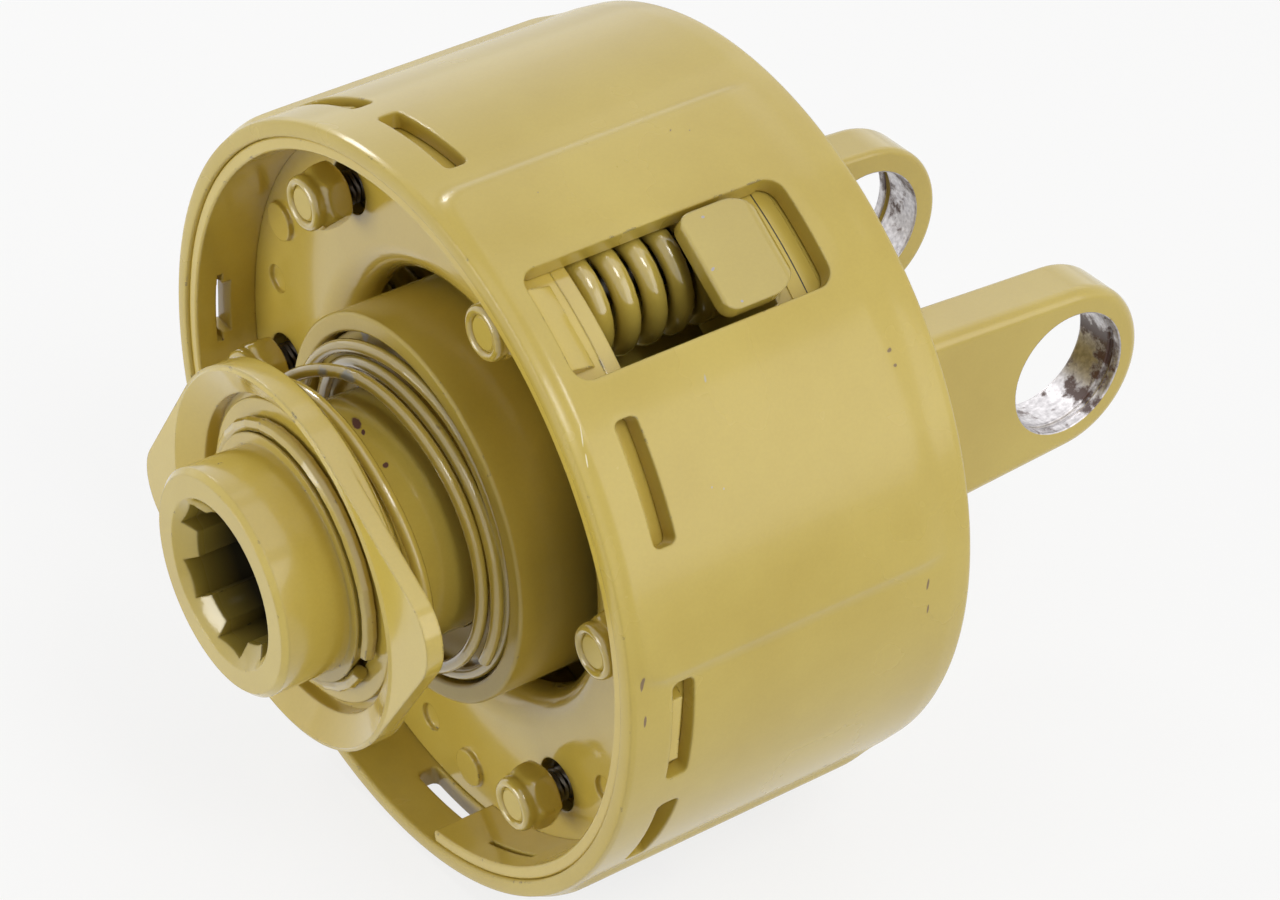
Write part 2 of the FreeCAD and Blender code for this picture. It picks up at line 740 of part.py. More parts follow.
seat_t = size_of(1.8)
spring_knots = [
    (-100, 28.2, 35.0), (-60, 27.6, 35.0), (-10, 26.6, 35.0), (16, 26.6, 35.0), (42, 27.0, 35.0),
    (60, 28.1, 35.0), (80, 28.7, 35.0), (200, 30.0, 35.0), (290, 31.5, 35.0), (330, 34.6, 35.0),
    (340, 36.6, 35.0), (350, 38.1, 35.0), (360, 38.9, 35.0), (373, 39.4, 35.0), (394, 40.9, 35.0),
    (424, 42.2, 34.9), (449, 42.5, 34.7), (470, 42.5, 34.3), (500, 42.5, 34.3), (560, 42.5, 37.4),
    (660, 43.2, 37.6), (702, 44.1, 37.6), (725, 45.4, 37.8), (755, 47.0, 38.0), (940, 47.1, 38.0),
    (1010, 46.6, 34.0), (1050, 44.0, 33.9), (1062, 43.0, 34.4), (1088, 43.6, 34.6), (1100, 43.9, 34.7),
    (1113, 44.6, 34.8), (1127, 45.2, 35.0), (1140, 45.0, 36.0), (1152, 44.7, 37.1), (1166, 44.2, 37.9),
    (1201, 43.9, 38.0)]


def spring_value(angle, column):
    """Read the station or the radius of the spring at an angle."""
    for low, high in zip(spring_knots, spring_knots[1:]):
        if angle <= high[0]:
            share = max(0.0, (angle - low[0]) / (high[0] - low[0]))
            return low[column] + (high[column] - low[column]) * share
    return spring_knots[-1][column]


spring_front = collar_front + collar_rim + wire_r + 3.4
spring_rear = shoulder_x - seat_t - wire_r - 0.2
spring_shift = collar_boss + wire_r + 0.3


def spring_spot(station, reach):
    """Fit a drawn spot of the spring between the collar and its seat."""
    share = (station - 26.6) / (47.1 - 26.6)
    fitted = spring_front.value + (spring_rear.value - spring_front.value) * share
    return fitted, reach - 35.0 + spring_shift.value


spring_path = []
spring_out = []
spring_steps = 96
for step in range(spring_steps + 1):
    first = spring_knots[0][0]
    angle = first + (spring_knots[-1][0] - first) * step / spring_steps
    around_here = [angle - 12.0, angle - 6.0, angle, angle + 6.0, angle + 12.0]
    station = sum(spring_value(item, 1) for item in around_here) / 5.0
    reach = sum(spring_value(item, 2) for item in around_here) / 5.0
    station, reach = spring_spot(station, reach)
    spring_path.append(at_angle(station, reach, angle))
    spring_out.append(at_angle(0.0, 1.0, angle))
piece("collar_spring", wire_tube(spring_path, spring_out, wire_r.value, 6))

# Washer on the hub shoulder that seats the return spring

seat_washer = new_body("spring_seat_washer")
turned(seat_washer, "ring", [
    (shoulder_x - seat_t, body_r + slide_gap * 2),
    (shoulder_x - seat_t, recess_r - 0.5),
    (shoulder_x, recess_r - 0.5),
    (shoulder_x, body_r + slide_gap * 2),
])

# Overrunning ring: race bore, ratchet notches, drive keys and rear spigot

clip_x = race_x - 5.0
clip_groove = recess_r + 1.4
end_groove = spigot_r - 1.2
end_groove_x = bore_step + 2.1
ring_floor = hub_end + 1.6
ring = new_body("freewheel_ring")
turned(ring, "blank", [
    (ring_x, recess_r + 0.5),
    (ring_x, ring_r - 0.5),
    (ring_x + 0.5, ring_r),
    (ring_end, ring_r),
    (ring_end, spigot_r),
    (end_groove_x, spigot_r),
    (end_groove_x, end_groove),
    (end_groove_x + end_groove_w, end_groove),
    (end_groove_x + end_groove_w, spigot_r),
    (spigot_end - 0.6, spigot_r),
    (spigot_end, spigot_r - 0.6),
    (spigot_end, 0),
    (ring_floor, 0),
    (ring_floor, body_r + run_gap),
    (race_end + 0.1, body_r + run_gap),
    (race_end + 0.1, race_r),
    (race_x + 0.1, race_r),
    (race_x + 0.1, recess_r),
    (clip_x + clip_w, recess_r),
    (clip_x + clip_w, clip_groove),
    (clip_x, clip_groove),
    (clip_x, recess_r),
    (ring_x + 0.5, recess_r),
])
notch = cut_along(ring, "ratchet_notch", lambda s: outline(s, [
    (-6.0, race_r - 2.0), (6.5, race_r - 2.0), (6.5, race_r + 0.3),
    (-6.0, race_r + 3.0)]), race_x + 4.5, race_len - 9.0)
around(ring, "ratchet_notches", [notch], 6)
drive_x = press_x + press_t + disc_t
key_x = drive_x - 4.0
drive_key = grown(ring, "drive_key", lambda s: outline(
    s, box_of(key_w / 2, ring_r - 1.5, key_r)), key_x, 13.0, STUD_OFFSET + 30.0)
around(ring, "drive_keys", [drive_key], 6)

# Circlip and side washer that hold the hub in the ring

ring_clip = new_body("ring_circlip")
turned(ring_clip, "ring", [
    (clip_x + 0.05, recess_r - 2.6),
    (clip_x + 0.05, clip_groove - 0.1),
    (clip_x + clip_w - 0.05, clip_groove - 0.1),
    (clip_x + clip_w - 0.05, recess_r - 2.6),
])
cut_along(ring_clip, "gap", lambda s: outline(
    s, box_of(4.0, recess_r - 10.0, recess_r + 10.0)), clip_x - 1.0, clip_w + 3.0, 200.0)

side_washer = new_body("side_washer")
turned(side_washer, "ring", [
    (clip_x + clip_w, shoulder_r + 0.3),
    (clip_x + clip_w, recess_r - slide_gap),
    (race_x, recess_r - slide_gap),
    (race_x, shoulder_r + 0.3),
])

# Sliding keys of the overrun, shown drawn in, and the bent strips that push them out

key_len = race_len - 10.4
keys = []
strips = []
for step in range(3):
    turn = SPLINE_ANGLE + 30.0 + 120.0 * step
    low = key_slot_floor.value + 3.4
    top = race_outer.value - 0.25
    corners = [(-5.5, low), (5.5, low), (5.5, top - 0.55), (-5.5, top - 2.4)]
    corners.insert(3, (-1.0, top - 0.12))
    points = [FreeCAD.Vector(race_x.value + 5.2, a, b) for a, b in corners]
    face = Part.Face(Part.makePolygon(points + [points[0]]))
    keys.append(spun(face.extrude(FreeCAD.Vector(key_len.value, 0, 0)), turn))
    strip = []
    for index in range(9):
        station = race_x.value + 6.0 + (key_len.value - 1.6) * index / 8
        strip.append((station, key_slot_floor.value + 0.1 + 2.2 * (index % 2)))
    back = [(a, b + 0.9) for a, b in reversed(strip)]
    points = [FreeCAD.Vector(a, -4.0, b) for a, b in strip + back]
    face = Part.Face(Part.makePolygon(points + [points[0]]))
    strips.append(spun(face.extrude(FreeCAD.Vector(0, 8.0, 0)), turn))
piece("freewheel_keys", joined(keys))
piece("key_springs", joined(strips))

# Drum: drawn cup with three raised pads, three windows and nine slots

bore = drum_r - wall
floor_x = drum_end - floor_t
pad_r = drum_r + pad_rise
rear_taper = size_of(0.5)
drum = new_body("drum_housing", WINDOW_ANGLE)
turned(drum, "cup", [
    (drum_x, bore),
    (drum_x, drum_r),
    (drum_end - 5.2, drum_r),
    (drum_end, drum_r - rear_taper),
    (drum_end, bush_r),
    (floor_x, bush_r),
    (floor_x, bore),
])
rear_edge = (drum_r - rear_taper).value
softened(drum, "rear_round", 1.2, lambda e: is_circle(e, drum_end.value, rear_edge))
softened(drum, "floor_round", 5.0, lambda e: is_circle(e, floor_x.value, bore.value))
softened(drum, "front_round", 1.2, lambda e: is_circle(e, drum_x.value, drum_r.value))
pad = turned(drum, "pad", [
    (drum_x + 1.6, drum_r - 1.5),
    (drum_x + 1.6, drum_r),
    (drum_x + 5.2, pad_r),
    (drum_end - 15.0, pad_r),
    (drum_end - 5.2, drum_r),
    (drum_end - 5.2, drum_r - 1.5),
], turn=13.0, sweep=76.0)
around(drum, "pads", [pad], 3)


def rounded_window(sketch, low, high, half, corner):
    """A rectangle with rounded corners, drawn over the axis."""
    low = size_of(low)
    high = size_of(high)
    half = size_of(half)
    corner = size_of(corner)
    ways = [(high, half, -1, -1, 0), (low, half, 1, -1, 90), (low, -half, 1, 1, 180),
            (high, -half, -1, 1, 270)]
    arcs = []
    for across, up, left, down, start in ways:
        centre = FreeCAD.Vector(across.value + left * corner.value, up.value + down * corner.value, 0)
        circle = Part.Circle(centre, FreeCAD.Vector(0, 0, 1), corner.value)
        arcs.append(Part.ArcOfCircle(circle, math.radians(start), math.radians(start + 90)))
    first = sketch.GeometryCount
    sketch.addGeometry(arcs, False)
    lines = []
    for index in range(4):
        one = arcs[index].EndPoint
        two = arcs[(index + 1) % 4].StartPoint
        lines.append(Part.LineSegment(one, two))
    sketch.addGeometry(lines, False)
    found = []
    for index in range(4):
        line = first + 4 + index
        found.append((Sketcher.Constraint("Tangent", first + index, 2, line, 1), None))
        after = first + (index + 1) % 4
        found.append((Sketcher.Constraint("Tangent", line, 2, after, 1), None))
    for index, (across, up, left, down, start) in enumerate(ways):
        middle_x = across + corner * left
        middle_y = up + corner * down
        if index in (0, 2):
            found.extend(pins_for(first + index, 3, middle_x, middle_y))
    found.append((Sketcher.Constraint("Radius", first, corner.value), None))
    found.append((Sketcher.Constraint("Equal", first, first + 1), None))
    found.append((Sketcher.Constraint("Equal", first, first + 2), None))
    found.append((Sketcher.Constraint("Equal", first, first + 3), None))
    add_constraints(sketch, found)


window = cut_outwards(drum, "window", lambda s: rounded_window(
    s, window_x, window_x + window_len, window_w / 2, 3.6))
around(drum, "windows", [window], 3)
slots = []
for number, turn in enumerate((23.0, 60.0, 83.0), 1):
    slots.append(cut_outwards(drum, "slot_%d" % number, lambda s: rounded_window(
        s, slot_x, slot_x + slot_w, slot_len / 2, 0.8), turn))
around(drum, "slots", slots, 3)
for number, turn in enumerate((24.0, -24.0), 1):
    hole = cut_along(drum, "rivet_hole_%d" % number, lambda s: round_outline(
        s, 0, rivet_circle, rivet_r), floor_x - 1.0, floor_t + 2.0, turn - WINDOW_ANGLE)
    around(drum, "rivet_holes_%d" % number, [hole], 2)

# Split band that holds the front plate; its tongues bear on the front edges of the windows

band_out = bore - 0.06
band_in = band_out - band_t
tongue_half = window_w / 2 - 3.3
band = new_body("retaining_band", WINDOW_ANGLE)
turned(band, "strip", [
    (band_x, band_in + 0.4),
    (band_x, band_out - 0.4),
    (band_x + 0.4, band_out),
    (plate_x - 0.05, band_out),
    (plate_x - 0.05, band_in),
    (band_x + 0.4, band_in),
])
tongue = cut_outwards(band, "tongue_opening", lambda s: outline(s, [
    (window_x - 0.9, -tongue_half), (window_x + 0.5, -tongue_half),
    (window_x + 0.5, tongue_half), (window_x - 0.9, tongue_half)]))
around(band, "tongue_openings", [tongue], 3)
tongue_sketch = new_sketch(band, "tongue_outline", "XZ_Plane")
outline(tongue_sketch, [
    (window_x + 0.3, band_in + 1.2),
    (window_x + 0.3, band_out + 2.9),
    (window_x + 1.6, band_out + 2.9),
    (window_x + 7.4, band_out),
    (window_x + 7.4, band_out - 1.0),
    (window_x + 3.0, band_in + 1.2),
])
tongue = feature(band, "Pad", "tongue", tongue_sketch)
tongue.Midplane = True
tongue.setExpression("Length", (tongue_half * 2).text)
around(band, "tongues", [tongue], 3)
bump_sketch = new_sketch(band, "bump_outline", "XZ_Plane", 60.0)
outline(bump_sketch, [
    (slot_x + 0.4, band_out - 1.5),
    (slot_x + 0.4, drum_r - 1.4),
    (slot_x + 2.9, drum_r - 1.4),
    (slot_x + 3.7, band_out),
    (slot_x + 3.7, band_out - 1.5),
])
bump = feature(band, "Pad", "bump", bump_sketch)
bump.Midplane = True
bump.setExpression("Length", (slot_len - 9.4).text)
around(band, "bumps", [bump], 3)
cut_along(band, "split", lambda s: outline(s, [
    (0, 0), at_pair(171.5 - WINDOW_ANGLE, drum_r.value + 12.0),
    at_pair(198.0 - WINDOW_ANGLE, drum_r.value + 22.0),
    at_pair(222.0 - WINDOW_ANGLE, drum_r.value + 12.0)]), band_x - 1.0, plate_x - band_x + 4.0)

# Front plate: rolled hole, clearance holes for the studs, bosses and spring seats

plate_back = plate_x + plate_t
front = new_body("front_plate", WINDOW_ANGLE)
lip_end = plate_x + 9.6
turned(front, "pressing", [
    (plate_x, lip_r),
    (plate_x, bore - 0.15),
    (plate_back, bore - 0.15),
    (plate_back, lip_r + plate_t),
    (lip_end, lip_r + plate_t),
    (lip_end, lip_r),
])
softened(front, "rolled_edge", 7.6, lambda e: is_circle(e, plate_x.value, lip_r.value))
softened(front, "inner_roll", 3.6, lambda e: is_circle(e, plate_back.value, (lip_r + plate_t).value))
boss = grown(front, "boss", lambda s: round_outline(s, 0, stud_circle + 6.3, 4.6), plate_x - 1.3, 2.0, 22.0)
around(front, "bosses", [boss], 6)
stud_hole = cut_along(front, "stud_hole", lambda s: round_outline(
    s, 0, stud_circle, stud_r + 2.2), plate_x - 2.0, plate_t + 4.0, STUD_OFFSET)
around(front, "stud_holes", [stud_hole], 6)
seat_one = cut_along(front, "seat_mark_one", lambda s: round_outline(
    s, 0, stud_circle + 4.0, 3.3), plate_x - 1.0, 2.2, STUD_OFFSET + 16.5)
seat_two = cut_along(front, "seat_mark_two", lambda s: round_outline(
    s, 0, stud_circle + 4.0, 3.3), plate_x - 1.0, 2.2, STUD_OFFSET - 16.5)
around(front, "seat_marks_one", [seat_one], 6)
around(front, "seat_marks_two", [seat_two], 6)

# Pressure plate: ring with three tabs bent forward through the windows

press_end = press_x + press_t
press = new_body("pressure_plate", WINDOW_ANGLE)
turned(press, "ring", [
    (press_x, pack_in - 1.0),
    (press_x, pack_out - 0.2),
    (press_end, pack_out - 0.2),
    (press_end, pack_in - 1.0),
])
tab_sketch = new_sketch(press, "tab_outline", "XZ_Plane")
outline(tab_sketch, [
    (press_x, pack_out - 3.0),
    (press_x, tab_top - 4.0),
    (tab_x, tab_top - 4.0),
    (tab_x, tab_top),
    (press_end, tab_top),
    (press_end, pack_out - 3.0),
])
tab = feature(press, "Pad", "tab", tab_sketch)
tab.Midplane = True
tab.setExpression("Length", tab_w.text)
around(press, "tabs", [tab], 3)


def at_tab_edge(edge, station, high, along):
    """True for a straight edge of a tab near a station and height, in the given direction."""
    if not isinstance(edge.Curve, (Part.Line, Part.LineSegment)):
        return False
    middle = edge.CenterOfMass
    way = edge.tangentAt(edge.FirstParameter)
    reach = math.hypot(middle.y, middle.z)
    if abs(middle.x - station) > 0.1 or reach < high:
        return False
    outwards = FreeCAD.Vector(0, middle.y, middle.z).normalize()
    if along == "around":
        return abs(way.x) < 0.01 and abs(way.dot(outwards)) < 0.1
    return abs(way.dot(outwards)) > 0.9


tab_root = (pack_out.value - 3.0 + tab_top.value) / 2
softened(press, "tab_rear_corners", 4.1,
         lambda e: at_tab_edge(e, press_end.value, tab_root, "out"), "Chamfer")
softened(press, "tab_front_corners", 1.4,
         lambda e: at_tab_edge(e, tab_x.value, tab_top.value - 4.0, "out"), "Chamfer")
softened(press, "tab_bend", 3.4,
         lambda e: at_tab_edge(e, press_end.value, tab_top.value - 1.2, "around"))
softened(press, "tab_nose", 0.8,
         lambda e: at_tab_edge(e, tab_x.value, tab_top.value - 0.7, "around"))
press_hole = cut_along(press, "stud_seat", lambda s: round_outline(
    s, 0, stud_circle, stud_r), press_x - 1.0, press_t + 2.0, STUD_OFFSET)
around(press, "stud_seats", [press_hole], 6)

# Friction disc, drive plate, friction disc and floor ring

disc_one_x = press_end
drive_end = drive_x + drive_t
disc_two_x = drive_end
floor_ring_x = disc_two_x + disc_t


def plain_ring(label, start, end, inner, outer, turn=0.0):
    """A flat ring between two stations."""
    body = new_body(label, turn)
    turned(body, "ring", [(start, inner), (start, outer), (end, outer), (end, inner)])
    return body


disc_front = plain_ring("friction_disc_front", disc_one_x, drive_x, pack_in, pack_out)
disc_rear = plain_ring("friction_disc_rear", disc_two_x, floor_ring_x, pack_in, pack_out)
for body in (disc_front, disc_rear):
    groove = cut_along(body, "wear_groove", lambda s: outline(
        s, box_of(1.2, pack_in - 3.0, pack_out + 6.0)),
        drive_x - 0.8 if body is disc_front else disc_two_x, 0.8, 10.0)
    around(body, "wear_grooves", [groove], 6)

drive = plain_ring("drive_plate", drive_x, drive_end, ring_r + 0.5, pack_out)
key_notch = cut_along(drive, "key_notch", lambda s: outline(
    s, box_of(key_w / 2 + 0.25, ring_r - 4.5, key_r + 0.45)),
    drive_x - 1.0, drive_t + 2.0, STUD_OFFSET + 30.0)
around(drive, "key_notches", [key_notch], 6)

floor_ring = plain_ring("floor_ring", floor_ring_x, floor_x, pack_in, pack_out - 4.6)

# Clutch springs around the studs

coil_path_x = plate_back + coil_wire
coil_span = press_x - plate_back - coil_wire * 2
coil_turns = 6.1
coil_phase = 0.22
coil_steps = 68
springs = []
coil_path = []
coil_out = []
for step in range(coil_steps + 1):
    turn = coil_turns * step / coil_steps
    if turn < 0.75:
        share = 0.02 * turn / 0.75
    elif turn > coil_turns - 0.75:
        share = 1.0 - 0.02 * (coil_turns - turn) / 0.75
    else:
        share = 0.02 + 0.96 * (turn - 0.75) / (coil_turns - 1.5)
    spin = 2 * math.pi * (turn + coil_phase)
    radial = FreeCAD.Vector(0, -math.sin(spin), math.cos(spin))
    station = coil_path_x.value + coil_span.value * share
    middle = FreeCAD.Vector(station, 0, stud_circle.value) + radial * coil_r.value
    coil_path.append(middle)
    coil_out.append(radial)
coil = wire_tube(coil_path, coil_out, coil_wire.value, 6)
for step in range(6):
    springs.append(spun(coil, WINDOW_ANGLE + STUD_OFFSET + 60.0 * step))
piece("clutch_springs", joined(springs))

# Studs and lock nuts

studs = []
nuts = []
stud_len = press_end.value - stud_x.value
corner = nut_flats.value / math.sqrt(3.0)
for step in range(6):
    turn = WINDOW_ANGLE + STUD_OFFSET + 60.0 * step
    middle = at_angle(stud_x.value, stud_circle.value, turn)
    studs.append(Part.makeCylinder(stud_r.value, stud_len, middle, FreeCAD.Vector(1, 0, 0)))
    points = []
    for index in range(6):
        spin = math.radians(60.0 * index + 14.0 * step + 8.0)
        points.append(FreeCAD.Vector(nut_x.value + 2.6, corner * math.cos(spin), corner * math.sin(spin)))
    face = Part.Face(Part.makePolygon(points + [points[0]]))
    hexagon = face.extrude(FreeCAD.Vector(nut_len.value - 2.6, 0, 0))
    low = FreeCAD.Vector(nut_x.value, 0, 0)
    axis = FreeCAD.Vector(1, 0, 0)
    trim = Part.makeCone(6.9, 9.5, 2.6, FreeCAD.Vector(nut_x.value + 2.6, 0, 0), axis)
    trim = trim.fuse(Part.makeCylinder(9.5, nut_len.value, FreeCAD.Vector(nut_x.value + 5.2, 0, 0), axis))
    hexagon = hexagon.common(trim)
    collar_of_nut = Part.makeCylinder(6.3, 2.8, low, axis)
    nut = hexagon.fuse(collar_of_nut)
    nut = nut.cut(Part.makeCylinder(stud_r.value, nut_len.value + 2.0, low - axis, axis))
    nut.translate(FreeCAD.Vector(0, middle.y, middle.z))
    nuts.append(nut)
piece("studs", joined(studs))
piece("lock_nuts", joined(nuts))

# Fork: flange, two ears, cross bores with ring grooves

fork = new_body("yoke", FORK_ANGLE)
flange_end = drum_end + flange_t
turned(fork, "flange", [
    (drum_end, bush_r),
    (drum_end, flange_r),
    (flange_end - 2.0, flange_r),
    (flange_end, flange_r - 2.0),
    (flange_end, ear_in - 1.2),
    (bore_step, ear_in - 1.2),
    (bore_step, bush_r),
])


def tangent_spot(across, up, middle, radius):
    """Where a line from a point touches a circle on the axis, on the upper side."""
    away = middle - across
    reach = math.hypot(away, up)
    lean = math.atan2(-up, away)
    open_angle = math.asin(radius / reach)
    length = math.sqrt(reach * reach - radius * radius)
    return (across + length * math.cos(lean + open_angle), up + length * math.sin(lean + open_angle))


base_x = drum_end.value + 6.0
touch = tangent_spot(base_x, ear_base.value, eye_x.value, ear_r.value)


def ear_outline(sketch):
    """The straight part of an ear."""
    outline(sketch, [
        (base_x, -ear_base), (touch[0], -touch[1]), (touch[0], touch[1]), (base_x, ear_base)])


ear_sketch = new_sketch(fork, "ear_outline", "XZ_Plane", 0.0, ear_in)
ear_outline(ear_sketch)
ear = feature(fork, "Pad", "ear", ear_sketch)
ear.setExpression("Length", (ear_out - ear_in).text)
eye_sketch = new_sketch(fork, "eye_outline", "XZ_Plane", 0.0, ear_in)
round_outline(eye_sketch, eye_x, 0, ear_r)
eye = feature(fork, "Pad", "eye", eye_sketch)
eye.setExpression("Length", (ear_out - ear_in).text)
around(fork, "ears", [ear, eye], 2)


def ear_edge(edge):
    """True for the outer edges of the ears beyond the flange."""
    middle = edge.CenterOfMass
    if middle.x < flange_end.value + 6.0:
        return False
    box = edge.BoundBox
    flat = box.YLength < 0.01 and abs(abs(box.YMin) - ear_out.value) < 0.01
    return flat


softened(fork, "ear_rounds", 3.0, ear_edge)


def inner_ear_edge(edge):
    """True for the inner edges of the ears beyond the flange."""
    middle = edge.CenterOfMass
    box = edge.BoundBox
    flat = box.YLength < 0.01 and abs(abs(box.YMin) - ear_in.value) < 0.01
    return flat and middle.x > flange_end.value + 6.0


softened(fork, "inner_rounds", 1.6, inner_ear_edge)
cross = new_sketch(fork, "cross_outline", "XZ_Plane")
round_outline(cross, eye_x, 0, eye_r)
cross_cut = feature(fork, "Pocket", "cross_bore", cross)
cross_cut.Midplane = True
cross_cut.setExpression("Length", (ear_out * 2 + 20.0).text)
doc.recompute()
groove_at = ear_out - 4.0
groove_sketch = new_sketch(fork, "ring_groove_outline", "XZ_Plane", 0.0, groove_at)
round_outline(groove_sketch, eye_x, 0, eye_r + 0.9)
ring_groove = cut(fork, "ring_groove", groove_sketch, 1.5)
around(fork, "ring_grooves", [ring_groove], 2)
for number, turn in enumerate((24.0, -24.0), 1):
    hole = cut_along(fork, "rivet_hole_%d" % number, lambda s: round_outline(
        s, 0, rivet_circle, rivet_r), drum_end - 1.0, flange_t + 2.0, turn)
    around(fork, "rivet_holes_%d" % number, [hole], 2)

# Rivets between the drum and the fork

rivets = []
axis = FreeCAD.Vector(1, 0, 0)
for turn in (24.0, -24.0, 204.0, 156.0):
    foot = at_angle(floor_x.value, rivet_circle.value, turn)
    length = (flange_end - floor_x).value
    shank = Part.makeCylinder(rivet_r.value, length, foot, axis)
    head = Part.makeCylinder(rivet_r.value + 3.4, 3.2, foot + axis * length, axis)
    head = head.makeFillet(2.4, [e for e in head.Edges if abs(e.BoundBox.XMin - e.BoundBox.XMax) < 0.01
                                 and e.BoundBox.XMin > foot.x + length + 1.0])
    rivets.append(shank.fuse(head))
piece("fork_rivets", joined(rivets))

# Rear bearing: bush, thrust washer, end washer and circlip

bush = new_body("rear_bush")
turned(bush, "sleeve", [
    (floor_x, spigot_r + run_gap),
    (floor_x, bush_r),
    (bore_step, bush_r),
    (bore_step, spigot_r + run_gap),
])
thrust = plain_ring("thrust_washer", ring_end + 0.05, floor_x - 0.05, spigot_r + 0.3, ring_r - 9.0)
end_washer = plain_ring("end_washer", bore_step + 0.05, end_groove_x, spigot_r + 0.2, ear_in - 1.8)
end_clip = plain_ring("end_circlip", end_groove_x + 0.05, end_groove_x + end_groove_w - 0.05,
                      end_groove + 0.1, spigot_r + 3.0)
cut_along(end_clip, "gap", lambda s: outline(s, box_of(
    3.0, spigot_r - 7.0, spigot_r + 8.0)), end_groove_x - 1.0, end_groove_w + 2.0, 160.0)

# Every object is checked, then each piece is written to its own file

doc.recompute()
for item in doc.Objects:
    for word in ("Invalid", "Error"):
        if word in item.State:
            raise RuntimeError(item.Name + " is " + word)
total = 0
for item in pieces:
    shape = item.Shape
    if shape.isNull() or not shape.isValid():
        raise RuntimeError(item.Label + " has a bad shape")
    shape.exportStep("parts/" + item.Label + ".step")
    print("%-20s %9.1f mm3  %d solids" % (item.Label, shape.Volume, len(shape.Solids)))
    total += 1
print("pieces written: %d" % total)
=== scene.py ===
# %% [markdown]
# A torque limiter from a farm driveline, dressed for the camera.
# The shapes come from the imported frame: a splined hub, an overrunning ring, a drum with a spring-loaded
# friction pack and the fork of a universal joint. Here the pieces get their rounded edges, their coils and
# threads, and the ochre paint that covers them all. Lengths are metres and the shaft lies along X.

import json
import math

import bmesh
import bpy
from mathutils import Matrix, Vector, noise

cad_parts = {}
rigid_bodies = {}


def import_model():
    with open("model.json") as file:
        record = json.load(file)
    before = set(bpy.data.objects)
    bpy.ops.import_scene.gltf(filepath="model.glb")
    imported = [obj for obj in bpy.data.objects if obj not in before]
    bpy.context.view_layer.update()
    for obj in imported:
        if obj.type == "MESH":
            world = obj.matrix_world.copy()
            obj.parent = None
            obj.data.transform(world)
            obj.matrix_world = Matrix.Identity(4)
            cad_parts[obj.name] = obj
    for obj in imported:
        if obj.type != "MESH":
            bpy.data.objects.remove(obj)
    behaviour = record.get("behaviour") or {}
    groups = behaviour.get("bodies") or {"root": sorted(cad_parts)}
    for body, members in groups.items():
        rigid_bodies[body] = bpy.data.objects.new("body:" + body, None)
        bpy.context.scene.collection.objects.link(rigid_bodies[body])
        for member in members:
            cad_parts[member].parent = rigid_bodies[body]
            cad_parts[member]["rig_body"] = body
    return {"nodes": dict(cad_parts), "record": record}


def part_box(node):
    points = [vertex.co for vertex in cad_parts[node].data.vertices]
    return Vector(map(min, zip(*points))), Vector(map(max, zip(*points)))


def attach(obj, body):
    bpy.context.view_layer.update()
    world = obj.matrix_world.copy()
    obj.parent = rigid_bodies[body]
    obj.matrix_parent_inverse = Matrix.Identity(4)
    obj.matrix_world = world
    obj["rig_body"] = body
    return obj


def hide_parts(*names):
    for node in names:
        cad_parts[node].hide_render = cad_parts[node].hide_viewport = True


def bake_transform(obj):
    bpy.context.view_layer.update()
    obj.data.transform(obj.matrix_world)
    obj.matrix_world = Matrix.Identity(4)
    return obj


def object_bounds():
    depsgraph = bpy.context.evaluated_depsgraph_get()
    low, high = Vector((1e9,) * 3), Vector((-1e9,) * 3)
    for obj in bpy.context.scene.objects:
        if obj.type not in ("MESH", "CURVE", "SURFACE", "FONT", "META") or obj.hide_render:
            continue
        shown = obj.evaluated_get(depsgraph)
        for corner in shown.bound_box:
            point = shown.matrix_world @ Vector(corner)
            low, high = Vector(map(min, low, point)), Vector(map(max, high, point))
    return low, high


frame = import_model()
cad_low, cad_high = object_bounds()
nodes = frame["nodes"]
scene = bpy.context.scene
MM = 0.001
slot_of = {row["node"]: row["material_slot"] for row in frame["record"]["subparts"]}

# %% [markdown]
# The photograph was taken with a long lens from the nose side, a little over a third of a right angle above
# the shaft. A long lens keeps the far fork almost as large as it would be up close, so the lens is 120 mm on
# a 36 mm sensor. Its place and its turns put the drum's rim where the picture has it.

# %% Camera
CAMERA_PLACE = (-0.34250, -0.62686, 0.53762)
CAMERA_TILT = math.radians(54.633)
CAMERA_TURN = math.radians(-35.688)
LENS_MM = 120.26
SENSOR_MM = 36.0
bpy.ops.object.select_all(action="DESELECT")
bpy.ops.object.camera_add(location=CAMERA_PLACE, rotation=(CAMERA_TILT, 0.0, CAMERA_TURN))
camera = bpy.context.object
camera.name = "photo_camera"
camera.data.sensor_width = SENSOR_MM
camera.data.lens = LENS_MM
scene.camera = camera
print("camera:", round(camera.data.lens, 1), "mm lens at", [round(v, 3) for v in camera.location])

# %% [markdown]
# Every material below is built from nodes, so a few helpers come first. An input of a node gets either a
# plain value or the socket of another node, and one helper fills both kinds.


# %% Nodes and links
def set_inputs(tree, node, values):
    """Fill inputs of a node, each with a plain value or with a socket that is linked to it."""
    for key, value in values.items():
        if isinstance(value, bpy.types.NodeSocket):
            tree.links.new(value, node.inputs[key])
        else:
            node.inputs[key].default_value = value


def add_node(tree, kind, values=None, **settings):
    """Add a shader node, set its properties, and fill some of its inputs."""
    made = tree.nodes.new("ShaderNode" + kind)
    for key, value in settings.items():
        setattr(made, key, value)
    set_inputs(tree, made, values or {})
    return made


def new_material(name):
    """A new material with its tree and its shader."""
    made = bpy.data.materials.new(name)
    made.use_nodes = True
    return made, made.node_tree, made.node_tree.nodes["Principled BSDF"]


print("helpers for nodes ready")

# %% [markdown]
# The paint is mixed with masks: numbers between nothing and full that say how much of something lies at a
# point. These helpers make masks from noise and from distances, and blend colours and numbers with them.


